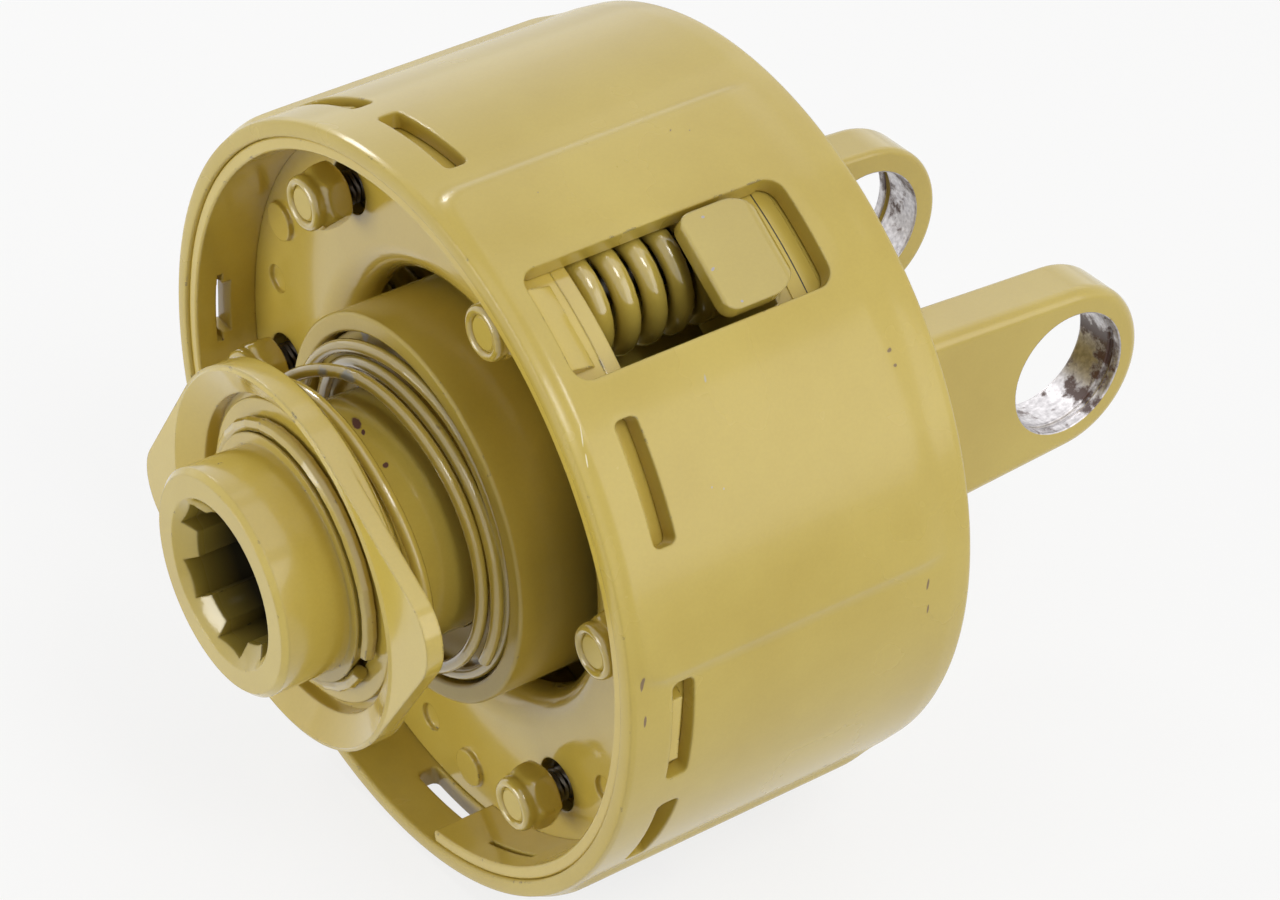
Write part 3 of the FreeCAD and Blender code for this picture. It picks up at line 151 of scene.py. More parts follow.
# %% Numbers and masks
def figure(tree, operation, *values):
    """The result of a Math node on numbers and sockets."""
    return add_node(tree, "Math", dict(enumerate(values)), operation=operation).outputs[0]


def ramp(tree, value, low, high, first=0.0, last=1.0):
    """A number that runs from first to last while a value runs from low to high."""
    levels = {"Value": value, "From Min": low, "From Max": high, "To Min": first, "To Max": last}
    return add_node(tree, "MapRange", levels).outputs["Result"]


def blend_colour(tree, mask, below, above):
    """Lay one colour over another through a mask."""
    return add_node(tree, "Mix", {"Factor": mask, 6: below, 7: above}, data_type="RGBA").outputs[2]


def blend_number(tree, mask, below, above):
    """Blend from one number to another through a mask."""
    return add_node(tree, "Mix", {"Factor": mask, 2: below, 3: above}, data_type="FLOAT").outputs[0]


def object_place(tree):
    """The shaded point, as the object's own coordinates."""
    return add_node(tree, "TexCoord").outputs["Object"]


def grain(tree, scale, detail, roughness=0.5):
    """The level of a noise that is fixed to the object."""
    values = {"Vector": object_place(tree), "Scale": scale, "Detail": detail, "Roughness": roughness}
    return add_node(tree, "TexNoise", values).outputs["Fac"]


def distance(tree, place):
    """The length of a vector."""
    return add_node(tree, "VectorMath", {0: place}, operation="LENGTH").outputs["Value"]


print("helpers for masks ready")

# %% [markdown]
# The object stands on a plain white table. The lens and the mirror-like paint see the table and the room as
# white, while the light that falls on the object stays at a plain level. Light Path makes that difference.

# %% Floor
WHITE = (1.0, 1.0, 1.0, 1.0)
PAPER = (0.80, 0.80, 0.79, 1.0)
FLOOR_Z = cad_low.z
FLOOR_GLOW = 0.80
bpy.ops.mesh.primitive_plane_add(size=8.0, location=(0.1, 0.0, FLOOR_Z))
floor = bpy.context.object
floor.name = "table_top"
floor_paint, tree = new_material("table_white")[:2]
tree.nodes.clear()
rays = add_node(tree, "LightPath").outputs
seen = figure(tree, "MAXIMUM", rays["Is Camera Ray"], rays["Is Glossy Ray"])
seen = figure(tree, "MAXIMUM", seen, rays["Is Transmission Ray"])
paper = add_node(tree, "BsdfDiffuse", {"Color": PAPER}).outputs[0]
glow = add_node(tree, "Emission", {"Color": WHITE, "Strength": 1.0}).outputs[0]
share = figure(tree, "MULTIPLY", seen, FLOOR_GLOW)
blend = add_node(tree, "MixShader", {"Fac": share, 1: paper, 2: glow})
add_node(tree, "OutputMaterial", {"Surface": blend.outputs[0]})
floor.data.materials.append(floor_paint)
print("table at z", round(FLOOR_Z, 4))

# %% [markdown]
# The room is a world of one plain grey, so that no side of the object is black. To the lens it is white, and
# in the glossy paint it is brighter still, which gives the wet film its pale sheen.

# %% Room
ROOM_LEVEL = 0.34
ROOM_IN_GLOSS = 1.35
room = bpy.data.worlds.new("white_room")
room.use_nodes = True
scene.world = room
tree = room.node_tree
tree.nodes.clear()
rays = add_node(tree, "LightPath").outputs
seen = figure(tree, "MAXIMUM", rays["Is Camera Ray"], rays["Is Transmission Ray"])
in_gloss = figure(tree, "MULTIPLY", rays["Is Glossy Ray"], ROOM_IN_GLOSS)
level = figure(tree, "MAXIMUM", ramp(tree, seen, 0.0, 1.0, ROOM_LEVEL, 1.0), in_gloss)
glow = add_node(tree, "Background", {"Color": WHITE, "Strength": level})
add_node(tree, "OutputWorld", {"Surface": glow.outputs[0]})
scene.view_settings.view_transform = "Standard"
print("room level:", ROOM_LEVEL)

# %% [markdown]
# In the picture the outside is lit evenly and the inside of the drum stays dark. So the large soft boxes
# stand beside, above and behind the drum. Only one stands beyond the nose, a little to the far side, for the
# faces that look forward. Two smaller boxes put the sharp lights on the wire and along the wet-looking edges.

# %% Lamps
LAMPS = [
    ("side_box", (0.50, -1.20, 0.26), 1.25, 7.0),
    ("top_box", (0.30, -0.35, 1.20), 1.1, 2.9),
    ("nose_box", (-1.20, 0.35, 0.10), 0.7, 10.6),
    ("back_box", (0.90, 0.35, 0.90), 0.8, 1.2),
    ("glint_box", (0.02, -0.85, 1.00), 0.34, 3.6),
    ("far_glint_box", (0.24, 0.95, 0.72), 0.26, 3.0),
]
TARGET = Vector((0.09, 0.0, 0.0))
for name, place, size, power in LAMPS:
    bpy.ops.object.light_add(type="AREA", location=place)
    lamp = bpy.context.object
    lamp.name = name
    lamp.data.shape = "SQUARE"
    lamp.data.size = size
    lamp.data.energy = power
    lamp.rotation_euler = (TARGET - Vector(place)).to_track_quat("-Z", "Y").to_euler()
print("lamps:", [row[0] for row in LAMPS])

# %% [markdown]
# Everything is sprayed with one ochre paint after assembly. The film is glossy, a little uneven in tone, has
# a fine orange peel, and is chipped at the edges and scratched in a few places. These effects are shared by
# all the painted materials, so each is a node group with its own inputs, built once. The first one finds the
# edges: a Bevel node rounds the normal there, and where it leaves the face's own normal there is an edge.

# %% Edge zone
NUMBER = "NodeSocketFloat"
COLOUR = "NodeSocketColor"
VECTOR = "NodeSocketVector"
NO_PLACE = (0.0, 0.0, 0.0)
EDGE_RADIUS = 0.0008


def new_group(name, inputs, outputs):
    """Start a shader node group with named sockets and give the tree with its two ends."""
    group = bpy.data.node_groups.new(name, "ShaderNodeTree")
    for label, kind, value in inputs:
        socket = group.interface.new_socket(name=label, in_out="INPUT", socket_type=kind)
        socket.default_value = value
    for label, kind in outputs:
        group.interface.new_socket(name=label, in_out="OUTPUT", socket_type=kind)
    return group, group.nodes.new("NodeGroupInput").outputs, group.nodes.new("NodeGroupOutput")


edge_group, given, end = new_group(
    "edge_zone",
    [("Radius", NUMBER, EDGE_RADIUS)],
    [("Edge", NUMBER), ("Normal", VECTOR)],
)
rounded = add_node(edge_group, "Bevel", {"Radius": given["Radius"]}, samples=4).outputs["Normal"]
own = add_node(edge_group, "NewGeometry").outputs["Normal"]
agree = add_node(edge_group, "VectorMath", {0: rounded, 1: own}, operation="DOT_PRODUCT").outputs["Value"]
set_inputs(edge_group, end, {"Edge": ramp(edge_group, agree, 0.995, 0.90), "Normal": rounded})
print("edge radius:", EDGE_RADIUS)

# %% [markdown]
# The second group is the film itself. Large soft clouds shift it between two ochre tones, a fine noise is
# the orange peel, and a coarser one breaks the film where an edge is near.

# %% Paint film
OCHRE_LIGHT = (0.520, 0.395, 0.075, 1.0)
OCHRE_DEEP = (0.470, 0.345, 0.056, 1.0)
PRIMER = (0.055, 0.045, 0.030, 1.0)
GREASE = (0.030, 0.024, 0.010, 1.0)
CHIP_DEPTH = -3.0
film_group, given, end = new_group(
    "paint_film",
    [
        ("Light tone", COLOUR, OCHRE_LIGHT),
        ("Deep tone", COLOUR, OCHRE_DEEP),
        ("Gloss", NUMBER, 0.0),
        ("Edge", NUMBER, 0.0),
        ("Chips", NUMBER, 0.5),
    ],
    [("Color", COLOUR), ("Roughness", NUMBER), ("Height", NUMBER), ("Bare", NUMBER)],
)
tree = film_group
clouds = grain(tree, 22.0, 4.0, 0.55)
tone = blend_colour(tree, ramp(tree, clouds, 0.35, 0.65), given["Deep tone"], given["Light tone"])
specks = ramp(tree, grain(tree, 1400.0, 1.0), 0.3, 0.7, 0.985, 1.015)
speckled = add_node(tree, "VectorMath", {0: tone, "Scale": specks}, operation="SCALE")
at_edge = figure(tree, "MULTIPLY", given["Edge"], 0.30)
broken = figure(tree, "MULTIPLY_ADD", given["Chips"], at_edge, grain(tree, 260.0, 3.0, 0.6))
bare = ramp(tree, broken, 0.77, 0.80)
set_inputs(tree, end, {
    "Color": speckled.outputs["Vector"],
    "Roughness": figure(tree, "SUBTRACT", ramp(tree, clouds, 0.0, 1.0, 0.16, 0.27), given["Gloss"]),
    "Height": figure(tree, "MULTIPLY_ADD", bare, CHIP_DEPTH, grain(tree, 520.0, 1.5)),
    "Bare": bare,
})
print("node groups:", [group.name for group in bpy.data.node_groups])

# %% [markdown]
# Some effects belong to a place: the cross bores of the fork are bare inside, the spline grooves hold dark
# grease, and the paint has a gouge here and there. One group measures the distance from the shaft, and
# another, placed by a Mapping node, gives a soft-edged patch of any length and breadth.

# %% Effects that know their place
axis_group, given, end = new_group(
    "from_shaft",
    [("Vector", VECTOR, NO_PLACE)],
    [("Radius", NUMBER), ("Station", NUMBER)],
)
parts = add_node(axis_group, "SeparateXYZ", {0: given["Vector"]}).outputs
across = add_node(axis_group, "CombineXYZ", {"Y": parts["Y"], "Z": parts["Z"]}).outputs[0]
set_inputs(axis_group, end, {"Radius": distance(axis_group, across), "Station": parts["X"]})

patch_group, given, end = new_group(
    "soft_patch",
    [("Vector", VECTOR, NO_PLACE), ("Ragged", NUMBER, 0.6), ("Grain", NUMBER, 900.0)],
    [("Mask", NUMBER)],
)
centred = figure(patch_group, "SUBTRACT", grain(patch_group, given["Grain"], 3.0), 0.5)
reach = distance(patch_group, given["Vector"])
reach = figure(patch_group, "MULTIPLY_ADD", centred, given["Ragged"], reach)
set_inputs(patch_group, end, {"Mask": ramp(patch_group, reach, 1.0, 0.7)})
print("node groups:", len(bpy.data.node_groups))

# %% [markdown]
# The helpers below bring such an effect to its place. They give a point by station, radius and turn, the
# radius and station of the shaded point, and one mask for several soft-edged places. The last one lays
# another colour, gloss or metal over a finished material.

# %% Places on the paint
PATCH_DEPTH = 1.5


def at_shaft(station, reach, turn):
    """A point by station and radius in millimetres and the turn from straight up towards the camera."""
    spin = math.radians(turn)
    return Vector((station, -reach * math.sin(spin), reach * math.cos(spin))) * MM


def shaft_reader(tree):
    """The radius and station of the shaded point, as two sockets."""
    reader = add_node(tree, "Group", {"Vector": object_place(tree)}, node_tree=axis_group)
    return reader.outputs["Radius"], reader.outputs["Station"]


def seated(tree, centre, size, lie=NO_PLACE):
    """The shaded point, seen from a centre and measured in a size along each way."""
    seat = {"Vector": object_place(tree), "Location": centre, "Rotation": lie, "Scale": size}
    return add_node(tree, "Mapping", seat, vector_type="TEXTURE").outputs["Vector"]


def patches(tree, spots, reach):
    """One mask for several soft-edged places: station, turn, slant, half length and half breadth of each."""
    total = None
    for station, turn, slant, length, breadth in spots:
        lie = Matrix.Rotation(math.radians(turn), 3, "X") @ Matrix.Rotation(math.radians(slant), 3, "Z")
        size = (length * MM, breadth * MM, PATCH_DEPTH * MM)
        spot = seated(tree, at_shaft(station, reach, turn), size, lie.to_euler("XYZ"))
        mask = add_node(tree, "Group", {"Vector": spot}, node_tree=patch_group).outputs["Mask"]
        total = mask if total is None else figure(tree, "MAXIMUM", total, mask)
    return total


def lay_over(material, mask, colour=None, roughness=None, metallic=None):
    """Put a place of another colour, gloss or metal over a finished material."""
    tree = material.node_tree
    surface = tree.nodes["Principled BSDF"]
    for socket, value in (("Base Color", colour), ("Roughness", roughness), ("Metallic", metallic)):
        if value is not None:
            target = surface.inputs[socket]
            below = target.links[0].from_socket if target.links else target.default_value
            mix = blend_colour if socket == "Base Color" else blend_number
            set_inputs(tree, surface, {socket: mix(tree, mask, below, value)})


print("patches are", PATCH_DEPTH, "mm deep")

# %% [markdown]
# Not every piece is as wet or as bright. The wires are dipped and shine most, the nuts and the collar have a
# thick film, and the drum's wide wall is duller. Each row gives what is taken off the roughness, the weight
# of the clear coat, and a factor on the two ochre tones. That factor is painted light and shade: the band,
# the plate and the collar are painted lighter and the tabs darker than the one paint they all share.

# %% Ochre paints
PLAIN_FINISH_AND_LIGHT_LEVEL = (0.0, 0.4, 1.0)
FINISHES_AND_LIGHT_LEVELS = {
    "band_paint": (0.0, 0.4, 1.12),
    "clutch_spring_paint": (0.09, 1.0, 1.0),
    "collar_paint": (0.04, 0.6, 1.08),
    "drum_paint": (-0.05, 0.2, 1.0),
    "hub_paint": (0.03, 0.4, 1.0),
    "nut_paint": (0.10, 1.0, 1.0),
    "plate_paint": (0.04, 0.6, 1.08),
    "ring_paint": (0.0, 0.0, 1.0),
    "ring_wire_paint": (0.08, 1.0, 1.0),
    "spring_paint": (0.08, 1.0, 1.0),
    "tab_paint": (0.05, 0.4, 0.92),
    "washer_paint": (0.05, 0.4, 1.0),
}
COAT_ROUGHNESS = 0.08
PEEL = {"Strength": 0.22, "Distance": 0.00006}


def painted(name):
    """A material of ochre paint; its chips bare the dark primer."""
    gloss, coat, level = FINISHES_AND_LIGHT_LEVELS.get(name, PLAIN_FINISH_AND_LIGHT_LEVEL)
    # The tone factor is painted light: it lightens or darkens the ochre of a piece that the lamps light too
    # little or too much.
    light, deep = (tuple(v * level for v in tone[:3]) + (1.0,) for tone in (OCHRE_LIGHT, OCHRE_DEEP))
    made, tree, surface = new_material(name)
    zone = add_node(tree, "Group", node_tree=edge_group).outputs
    looks = {"Light tone": light, "Deep tone": deep, "Gloss": gloss, "Edge": zone["Edge"]}
    film = add_node(tree, "Group", looks, node_tree=film_group).outputs
    bump = add_node(tree, "Bump", {"Height": film["Height"], "Normal": zone["Normal"], **PEEL})
    set_inputs(tree, surface, {
        "Base Color": blend_colour(tree, film["Bare"], film["Color"], PRIMER),
        "Roughness": film["Roughness"],
        "Normal": bump.outputs["Normal"],
        "Coat Weight": coat,
        "Coat Roughness": COAT_ROUGHNESS,
    })
    return made


MATERIALS = {slot: painted(slot) for slot in sorted(set(slot_of.values())) if slot.endswith("_paint")}
print("paints ready:", len(MATERIALS))

# %% [markdown]
# The hub is painted outside, but its spline grooves are greased steel that the spray only reached at the
# mouth. So the hub's paint darkens with depth inside the bore.

# %% Hub bore
BORE_RADII = (0.0196, 0.0190)
BORE_DEPTHS = (0.001, 0.013)
tree = MATERIALS["hub_paint"].node_tree
radius, station = shaft_reader(tree)
deep_in = figure(tree, "MULTIPLY", ramp(tree, radius, *BORE_RADII), ramp(tree, station, *BORE_DEPTHS))
lay_over(MATERIALS["hub_paint"], deep_in, colour=GREASE, roughness=0.45)
print("grease from", BORE_DEPTHS[0], "to", BORE_DEPTHS[1], "m into the bore")

# %% [markdown]
# Inside the drum the side of the overrunning ring lies in the shadow of the drum's wall. That shade is
# painted into the ring's paint as a soft dark patch, darkest where the drum's wall stands close.

# %% Painted shade on the ring
SHADE_CENTRE = at_shaft(76.0, 52.0, 88.0)
SHADE_SIZE = (0.030, 0.040, 0.046)
PAINTED_RING_SHADE = (0.060, 0.044, 0.012, 1.0)
tree = MATERIALS["ring_paint"].node_tree
# A soft dark patch of painted shade, centred where the drum's wall shades the ring.
painted_shade = ramp(tree, distance(tree, seated(tree, SHADE_CENTRE, SHADE_SIZE)), 1.0, 0.15)
lay_over(MATERIALS["ring_paint"], painted_shade, colour=PAINTED_RING_SHADE)
print("thin paint around", [round(v, 3) for v in SHADE_CENTRE])

# %% [markdown]
# The fork's two cross bores are bored after painting: bare steel with a groove for the ring that holds the
# bearing cup, and brown residue that has run along the lower side.

# %% Fork bores
EYE_TO_END = 0.0210
EYE_RADII = (0.01545, 0.01530)
GROOVE_RADII = (0.01670, 0.01660)
GROOVE_SIDE = 0.0396
GROOVE_HALF = 0.0009
STEEL_DULL = (0.42, 0.40, 0.41, 1.0)
STEEL_BRIGHT = (0.62, 0.60, 0.61, 1.0)
RUST = (0.085, 0.040, 0.030, 1.0)
EYE = Vector((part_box("yoke")[1].x - EYE_TO_END, 0.0, 0.0))
tree = MATERIALS["fork_paint"].node_tree
place = object_place(tree)
centred = add_node(tree, "Mapping", {"Vector": place, "Location": -EYE}, vector_type="POINT").outputs[0]
flat = add_node(tree, "VectorMath", {0: centred, 1: (1.0, 0.0, 1.0)}, operation="MULTIPLY").outputs[0]
from_eye = distance(tree, flat)
off_centre = figure(tree, "ABSOLUTE", add_node(tree, "SeparateXYZ", {0: place}).outputs["Y"])
at_groove = figure(tree, "COMPARE", off_centre, GROOVE_SIDE, GROOVE_HALF)
in_groove = figure(tree, "MULTIPLY", ramp(tree, from_eye, *GROOVE_RADII), at_groove)
bare = figure(tree, "MAXIMUM", ramp(tree, from_eye, *EYE_RADII), in_groove)
stain = ramp(tree, grain(tree, 140.0, 5.0, 0.65), 0.52, 0.60)
polish = ramp(tree, grain(tree, 900.0, 2.0), 0.35, 0.65)
steel_tone = blend_colour(tree, stain, blend_colour(tree, polish, STEEL_DULL, STEEL_BRIGHT), RUST)
metal_level = blend_number(tree, stain, 1.0, 0.0)
lay_over(MATERIALS["fork_paint"], bare, colour=steel_tone, roughness=0.33, metallic=metal_level)
print("fork bore centre:", [round(v, 4) for v in EYE])

# %% [markdown]
# The photograph shows a handful of marks on the paint: a gouge beside the window, small nicks, rubbed places
# near the rear edge, dark smears below the slots, and chips down to red primer on the hub's body.

# %% Paint marks and a painted highlight
PAINT_MARKS_AND_HIGHLIGHT = (
    ("drum_paint", 88.0, (0.42, 0.40, 0.38, 1.0), [
        (75.7, 48.5, 75.0, 1.5, 0.40), (68.9, 61.8, 0.0, 0.40, 0.40), (71.4, 62.6, 0.0, 0.35, 0.40)]),
    # These two thin pale streaks along the front rim are a painted highlight, not marks on the paint.
    ("drum_paint", 88.0, (0.80, 0.74, 0.52, 1.0), [
        (45.4, 49.3, 77.0, 2.6, 0.16), (44.6, 52.5, 80.0, 1.6, 0.14)]),
    ("drum_paint", 88.0, (0.20, 0.13, 0.055, 1.0), [
        (118.2, 54.3, 20.0, 0.9, 0.6), (118.4, 56.4, 0.0, 0.7, 0.5), (118.0, 88.6, 80.0, 1.6, 0.35),
        (118.4, 93.0, 85.0, 1.4, 0.30), (45.4, 84.1, 80.0, 2.0, 0.5), (45.8, 90.2, 85.0, 1.6, 0.4),
        (106.3, 126.7, 0.0, 0.6, 0.5), (64.5, 16.5, 0.0, 0.35, 0.3), (99.3, 14.6, 40.0, 0.6, 0.25),
        (102.9, 15.7, 0.0, 0.35, 0.3), (92.0, 205.0, 30.0, 1.6, 0.4), (70.0, 250.0, 60.0, 1.1, 0.4)]),
    ("tab_paint", 90.2, (0.36, 0.33, 0.36, 1.0), [
        (91.6, 29.1, 0.0, 0.5, 0.35), (87.6, 36.0, 30.0, 0.6, 0.35), (89.8, 41.3, 0.0, 0.4, 0.35)]),
    ("hub_paint", 28.0, (0.075, 0.022, 0.014, 1.0), [
        (34.2, 3.0, 70.0, 2.4, 1.1), (33.8, 9.5, 60.0, 1.0, 0.5), (33.5, 28.8, 30.0, 0.9, 0.7)]),
    ("spring_paint", 35.0, (0.24, 0.235, 0.20, 1.0), [
        (38.0, -12.0, 60.0, 7.0, 2.2), (36.6, -24.0, 60.0, 4.0, 2.0)]),
    ("spring_paint", 37.6, (0.070, 0.024, 0.016, 1.0), [
        (44.0, 29.0, 80.0, 2.6, 1.2), (43.0, 38.0, 80.0, 1.2, 0.8)]),
)
for slot, reach, colour, spots in PAINT_MARKS_AND_HIGHLIGHT:
    material = MATERIALS[slot]
    lay_over(material, patches(material.node_tree, spots, reach), colour=colour, roughness=0.5)
print("marks:", sum(len(row[3]) for row in PAINT_MARKS_AND_HIGHLIGHT))

# %% [markdown]
# The unpainted pieces sit deeper inside. Steel and bronze were turned, so they carry fine rings around the
# shaft: a noise that reads only the radius and the station has the same value all the way round.

# %% Bare metals
METALS = {
    "bearing_steel": ((0.60, 0.60, 0.60, 1.0), (0.35, 0.33, 0.30, 1.0), 0.22, 2200.0),
    "inner_steel": ((0.42, 0.40, 0.36, 1.0), (0.16, 0.12, 0.07, 1.0), 0.38, 1500.0),
    "stud_steel": ((0.11, 0.10, 0.085, 1.0), (0.05, 0.04, 0.03, 1.0), 0.36, 1800.0),
    "bush_bronze": ((0.52, 0.31, 0.12, 1.0), (0.22, 0.12, 0.05, 1.0), 0.36, 1800.0),
}


def turned_metal(name, tone, dark, roughness, lines):
    """Metal with turning marks around the shaft and a few dark stains."""
    made, tree, surface = new_material(name)
    radius, station = shaft_reader(tree)
    place = add_node(tree, "CombineXYZ", {"X": radius, "Y": station}).outputs[0]
    marks = add_node(tree, "TexNoise", {"Vector": place, "Scale": lines, "Detail": 2.0}).outputs["Fac"]
    stains = ramp(tree, grain(tree, 60.0, 4.0), 0.48, 0.66)
    bump = add_node(tree, "Bump", {"Strength": 0.4, "Distance": 0.00003, "Height": marks})
    lines_mask = ramp(tree, marks, 0.3, 0.7)
    set_inputs(tree, surface, {
        "Metallic": 1.0,
        "Base Color": blend_colour(tree, stains, tone, dark),
        "Roughness": blend_number(tree, lines_mask, roughness - 0.06, roughness + 0.10),
        "Normal": bump.outputs["Normal"],
    })
    return made


for name, looks in METALS.items():
    MATERIALS[name] = turned_metal(name, *looks)
print("metals:", len(METALS))

# %% [markdown]
# The friction lining is a pressed mass of brown fibres with brass flecks in it, dull all over.

# %% Friction lining
LINING_DARK = (0.085, 0.065, 0.050, 1.0)
LINING_PALE = (0.190, 0.150, 0.110, 1.0)
BRASS_FLECK = (0.55, 0.38, 0.16, 1.0)
MATERIALS["friction_lining"], tree, surface = new_material("friction_lining")
fibres = grain(tree, 700.0, 4.0, 0.7)
flecks = add_node(tree, "TexVoronoi", {"Vector": object_place(tree), "Scale": 900.0}).outputs["Distance"]
mask = ramp(tree, fibres, 0.40, 0.62)
mass = blend_colour(tree, mask, LINING_DARK, LINING_PALE)
bump = add_node(tree, "Bump", {"Strength": 0.5, "Distance": 0.00008, "Height": fibres})
set_inputs(tree, surface, {
    "Base Color": blend_colour(tree, ramp(tree, flecks, 0.16, 0.08), mass, BRASS_FLECK),
    "Roughness": blend_number(tree, mask, 0.72, 0.88),
    "Normal": bump.outputs["Normal"],
})
print("lining ready")

# %% [markdown]
# The spray also reached some of these pieces: the rims of the discs that show in the windows, the front of
# the seat washer in patches, and the ends of the studs. A dark line is left where two discs meet.

# %% Overspray
DISC_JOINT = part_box("friction_disc_front")[1].x
JOINT_HALF = 0.00016
RIM_RADII = (0.0820, 0.0826)
FRONT_STATIONS = (0.056, 0.053)
STUD_END_STATIONS = (0.0505, 0.0500)
for name, metal in (("friction_lining", None), ("inner_steel", 0.0)):
    tree = MATERIALS[name].node_tree
    radius, station = shaft_reader(tree)
    rim = ramp(tree, radius, *RIM_RADII)
    joint = figure(tree, "COMPARE", station, DISC_JOINT, JOINT_HALF)
    lay_over(MATERIALS[name], rim, colour=OCHRE_LIGHT, roughness=0.26, metallic=metal)
    lay_over(MATERIALS[name], joint, colour=GREASE, roughness=0.6, metallic=metal)

tree = MATERIALS["inner_steel"].node_tree
in_front = ramp(tree, shaft_reader(tree)[1], *FRONT_STATIONS)
reached = figure(tree, "MULTIPLY", in_front, ramp(tree, grain(tree, 90.0, 3.0), 0.32, 0.38))
lay_over(MATERIALS["inner_steel"], reached, colour=OCHRE_DEEP, roughness=0.35, metallic=0.0)

tree = MATERIALS["stud_steel"].node_tree
end_face = ramp(tree, shaft_reader(tree)[1], *STUD_END_STATIONS)
lay_over(MATERIALS["stud_steel"], end_face, colour=OCHRE_LIGHT, roughness=0.25, metallic=0.0)

for node in sorted(nodes):
    mesh = nodes[node].data
    mesh.materials.clear()
    mesh.materials.append(MATERIALS[slot_of[node]])
print("materials:", sorted(MATERIALS))

# %% [markdown]
# From here on the pieces get their final shapes. Each finished piece takes its material, the body that it
# moves with, and the name of the frame's piece that it stands for.

# %% Finish of a piece
DRESSED = {}


def finish_piece(piece, node, between=None):
    """Give a finished piece its finish, its body and the frame piece it stands for.

    A spring is given between: the bodies that its front and rear ends follow, and the stations where it lets
    go of them. These are not used; a spring is only baked in place and joins no body.
    """
    slot = slot_of[node]
    piece.data.materials.clear()
    piece.data.materials.append(MATERIALS[slot])
    if between:
        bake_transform(piece)
    else:
        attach(piece, nodes[node]["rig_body"])
    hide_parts(node)
    DRESSED[node] = piece


# %% [markdown]
# A pressed or machined piece never has a knife edge, and the paint rounds it further: a Bevel modifier
# rounds each edge. Before that, points that lie in one place are merged, so that the skin is closed.

# %% Seams and edges
MERGE = 0.000002


def select_only(piece):
    """Make one object the only selected and active one."""
    bpy.ops.object.select_all(action="DESELECT")
    piece.select_set(True)
    bpy.context.view_layer.objects.active = piece


def merge_points():
    """Go into edit mode and merge the points that coincide."""
    bpy.ops.object.mode_set(mode="EDIT")
    bpy.ops.mesh.select_all(action="SELECT")
    bpy.ops.mesh.remove_doubles(threshold=MERGE)


def close_seams():
    """Merge the points that coincide, turn all faces outward and leave edit mode."""
    merge_points()
    bpy.ops.mesh.normals_make_consistent(inside=False)
    bpy.ops.object.mode_set(mode="OBJECT")


def round_edges(piece, width, segments, angle, clamp=True):
    """Round the edges that are sharper than an angle."""
    edge = piece.modifiers.new("rounded_edges", "BEVEL")
    edge.limit_method = "ANGLE"
    edge.angle_limit = math.radians(angle)
    edge.width = width * MM
    edge.segments = segments
    edge.use_clamp_overlap = clamp
    select_only(piece)
    bpy.ops.object.modifier_apply(modifier=edge.name)


def even_shading(piece, angle):
    """Smooth shading in which the wide faces stay flat and only the narrow edge faces turn."""
    select_only(piece)
    bpy.ops.object.shade_smooth_by_angle(angle=math.radians(angle))
    weighted = piece.modifiers.new("even_shading", "WEIGHTED_NORMAL")
    weighted.keep_sharp = True
    bpy.ops.object.modifier_apply(modifier=weighted.name)


print("points merge within", MERGE, "m")

# %% [markdown]
# Two small corrections are cut before the edges are rounded. The tabs of the pressure plate get round
# corners, and the slit of the retaining band is opened a little behind one slot.


# %% Cutting tools
def cutting_block(outline, low, high, turn):
    """A closed block from an outline of stations and sides and two heights, in millimetres, at a turn."""
    up = at_shaft(0.0, 1.0, turn)
    side = at_shaft(0.0, 1.0, turn + 90.0)
    count = len(outline)
    swept = sum(a[0] * b[1] - b[0] * a[1] for a, b in zip(outline, outline[1:] + outline[:1]))
    if swept < 0.0:
        outline = outline[::-1]
    corners = []
    for height in (low, high):
        corners += [Vector((x * MM, 0.0, 0.0)) + up * height + side * s for x, s in outline]
    faces = [tuple(range(count)), tuple(reversed(range(count, 2 * count)))]
    for k in range(count):
        after = (k + 1) % count
        faces.append((after, k, k + count, after + count))
    mesh = bpy.data.meshes.new("cutting_block")
    mesh.from_pydata(corners, [], faces)
    block = bpy.data.objects.new("cutting_block", mesh)
    scene.collection.objects.link(block)
    return block


def cut_away(piece, block):
    """Take a block out of a piece."""
    cut = piece.modifiers.new("cut", "BOOLEAN")
    cut.operation = "DIFFERENCE"
    cut.solver = "EXACT"
    cut.object = block
    select_only(piece)
    bpy.ops.object.modifier_apply(modifier=cut.name)
    bpy.data.objects.remove(block)


print("cutting tools ready")

# %% Corners of the tabs
WINDOW_TURNS = (35.0, 155.0, 275.0)
CORNER_STEPS = 10
CLEAR = 2.0


def corner_outline(end, way, half, corner, side):
    """What lies outside a round corner of a tab with its end at a station and its sides at a half width."""
    outline = [(end - way * corner, side * (half + CLEAR))]
    for k in range(CORNER_STEPS + 1):
        spin = math.radians(90.0 / CORNER_STEPS * k)
        x = end - way * corner * (1.0 - math.sin(spin))
        outline.append((x, side * (half - corner * (1.0 - math.cos(spin)))))
    beyond = end + way * CLEAR
    return outline + [(beyond, side * (half - corner)), (beyond, side * (half + CLEAR))]


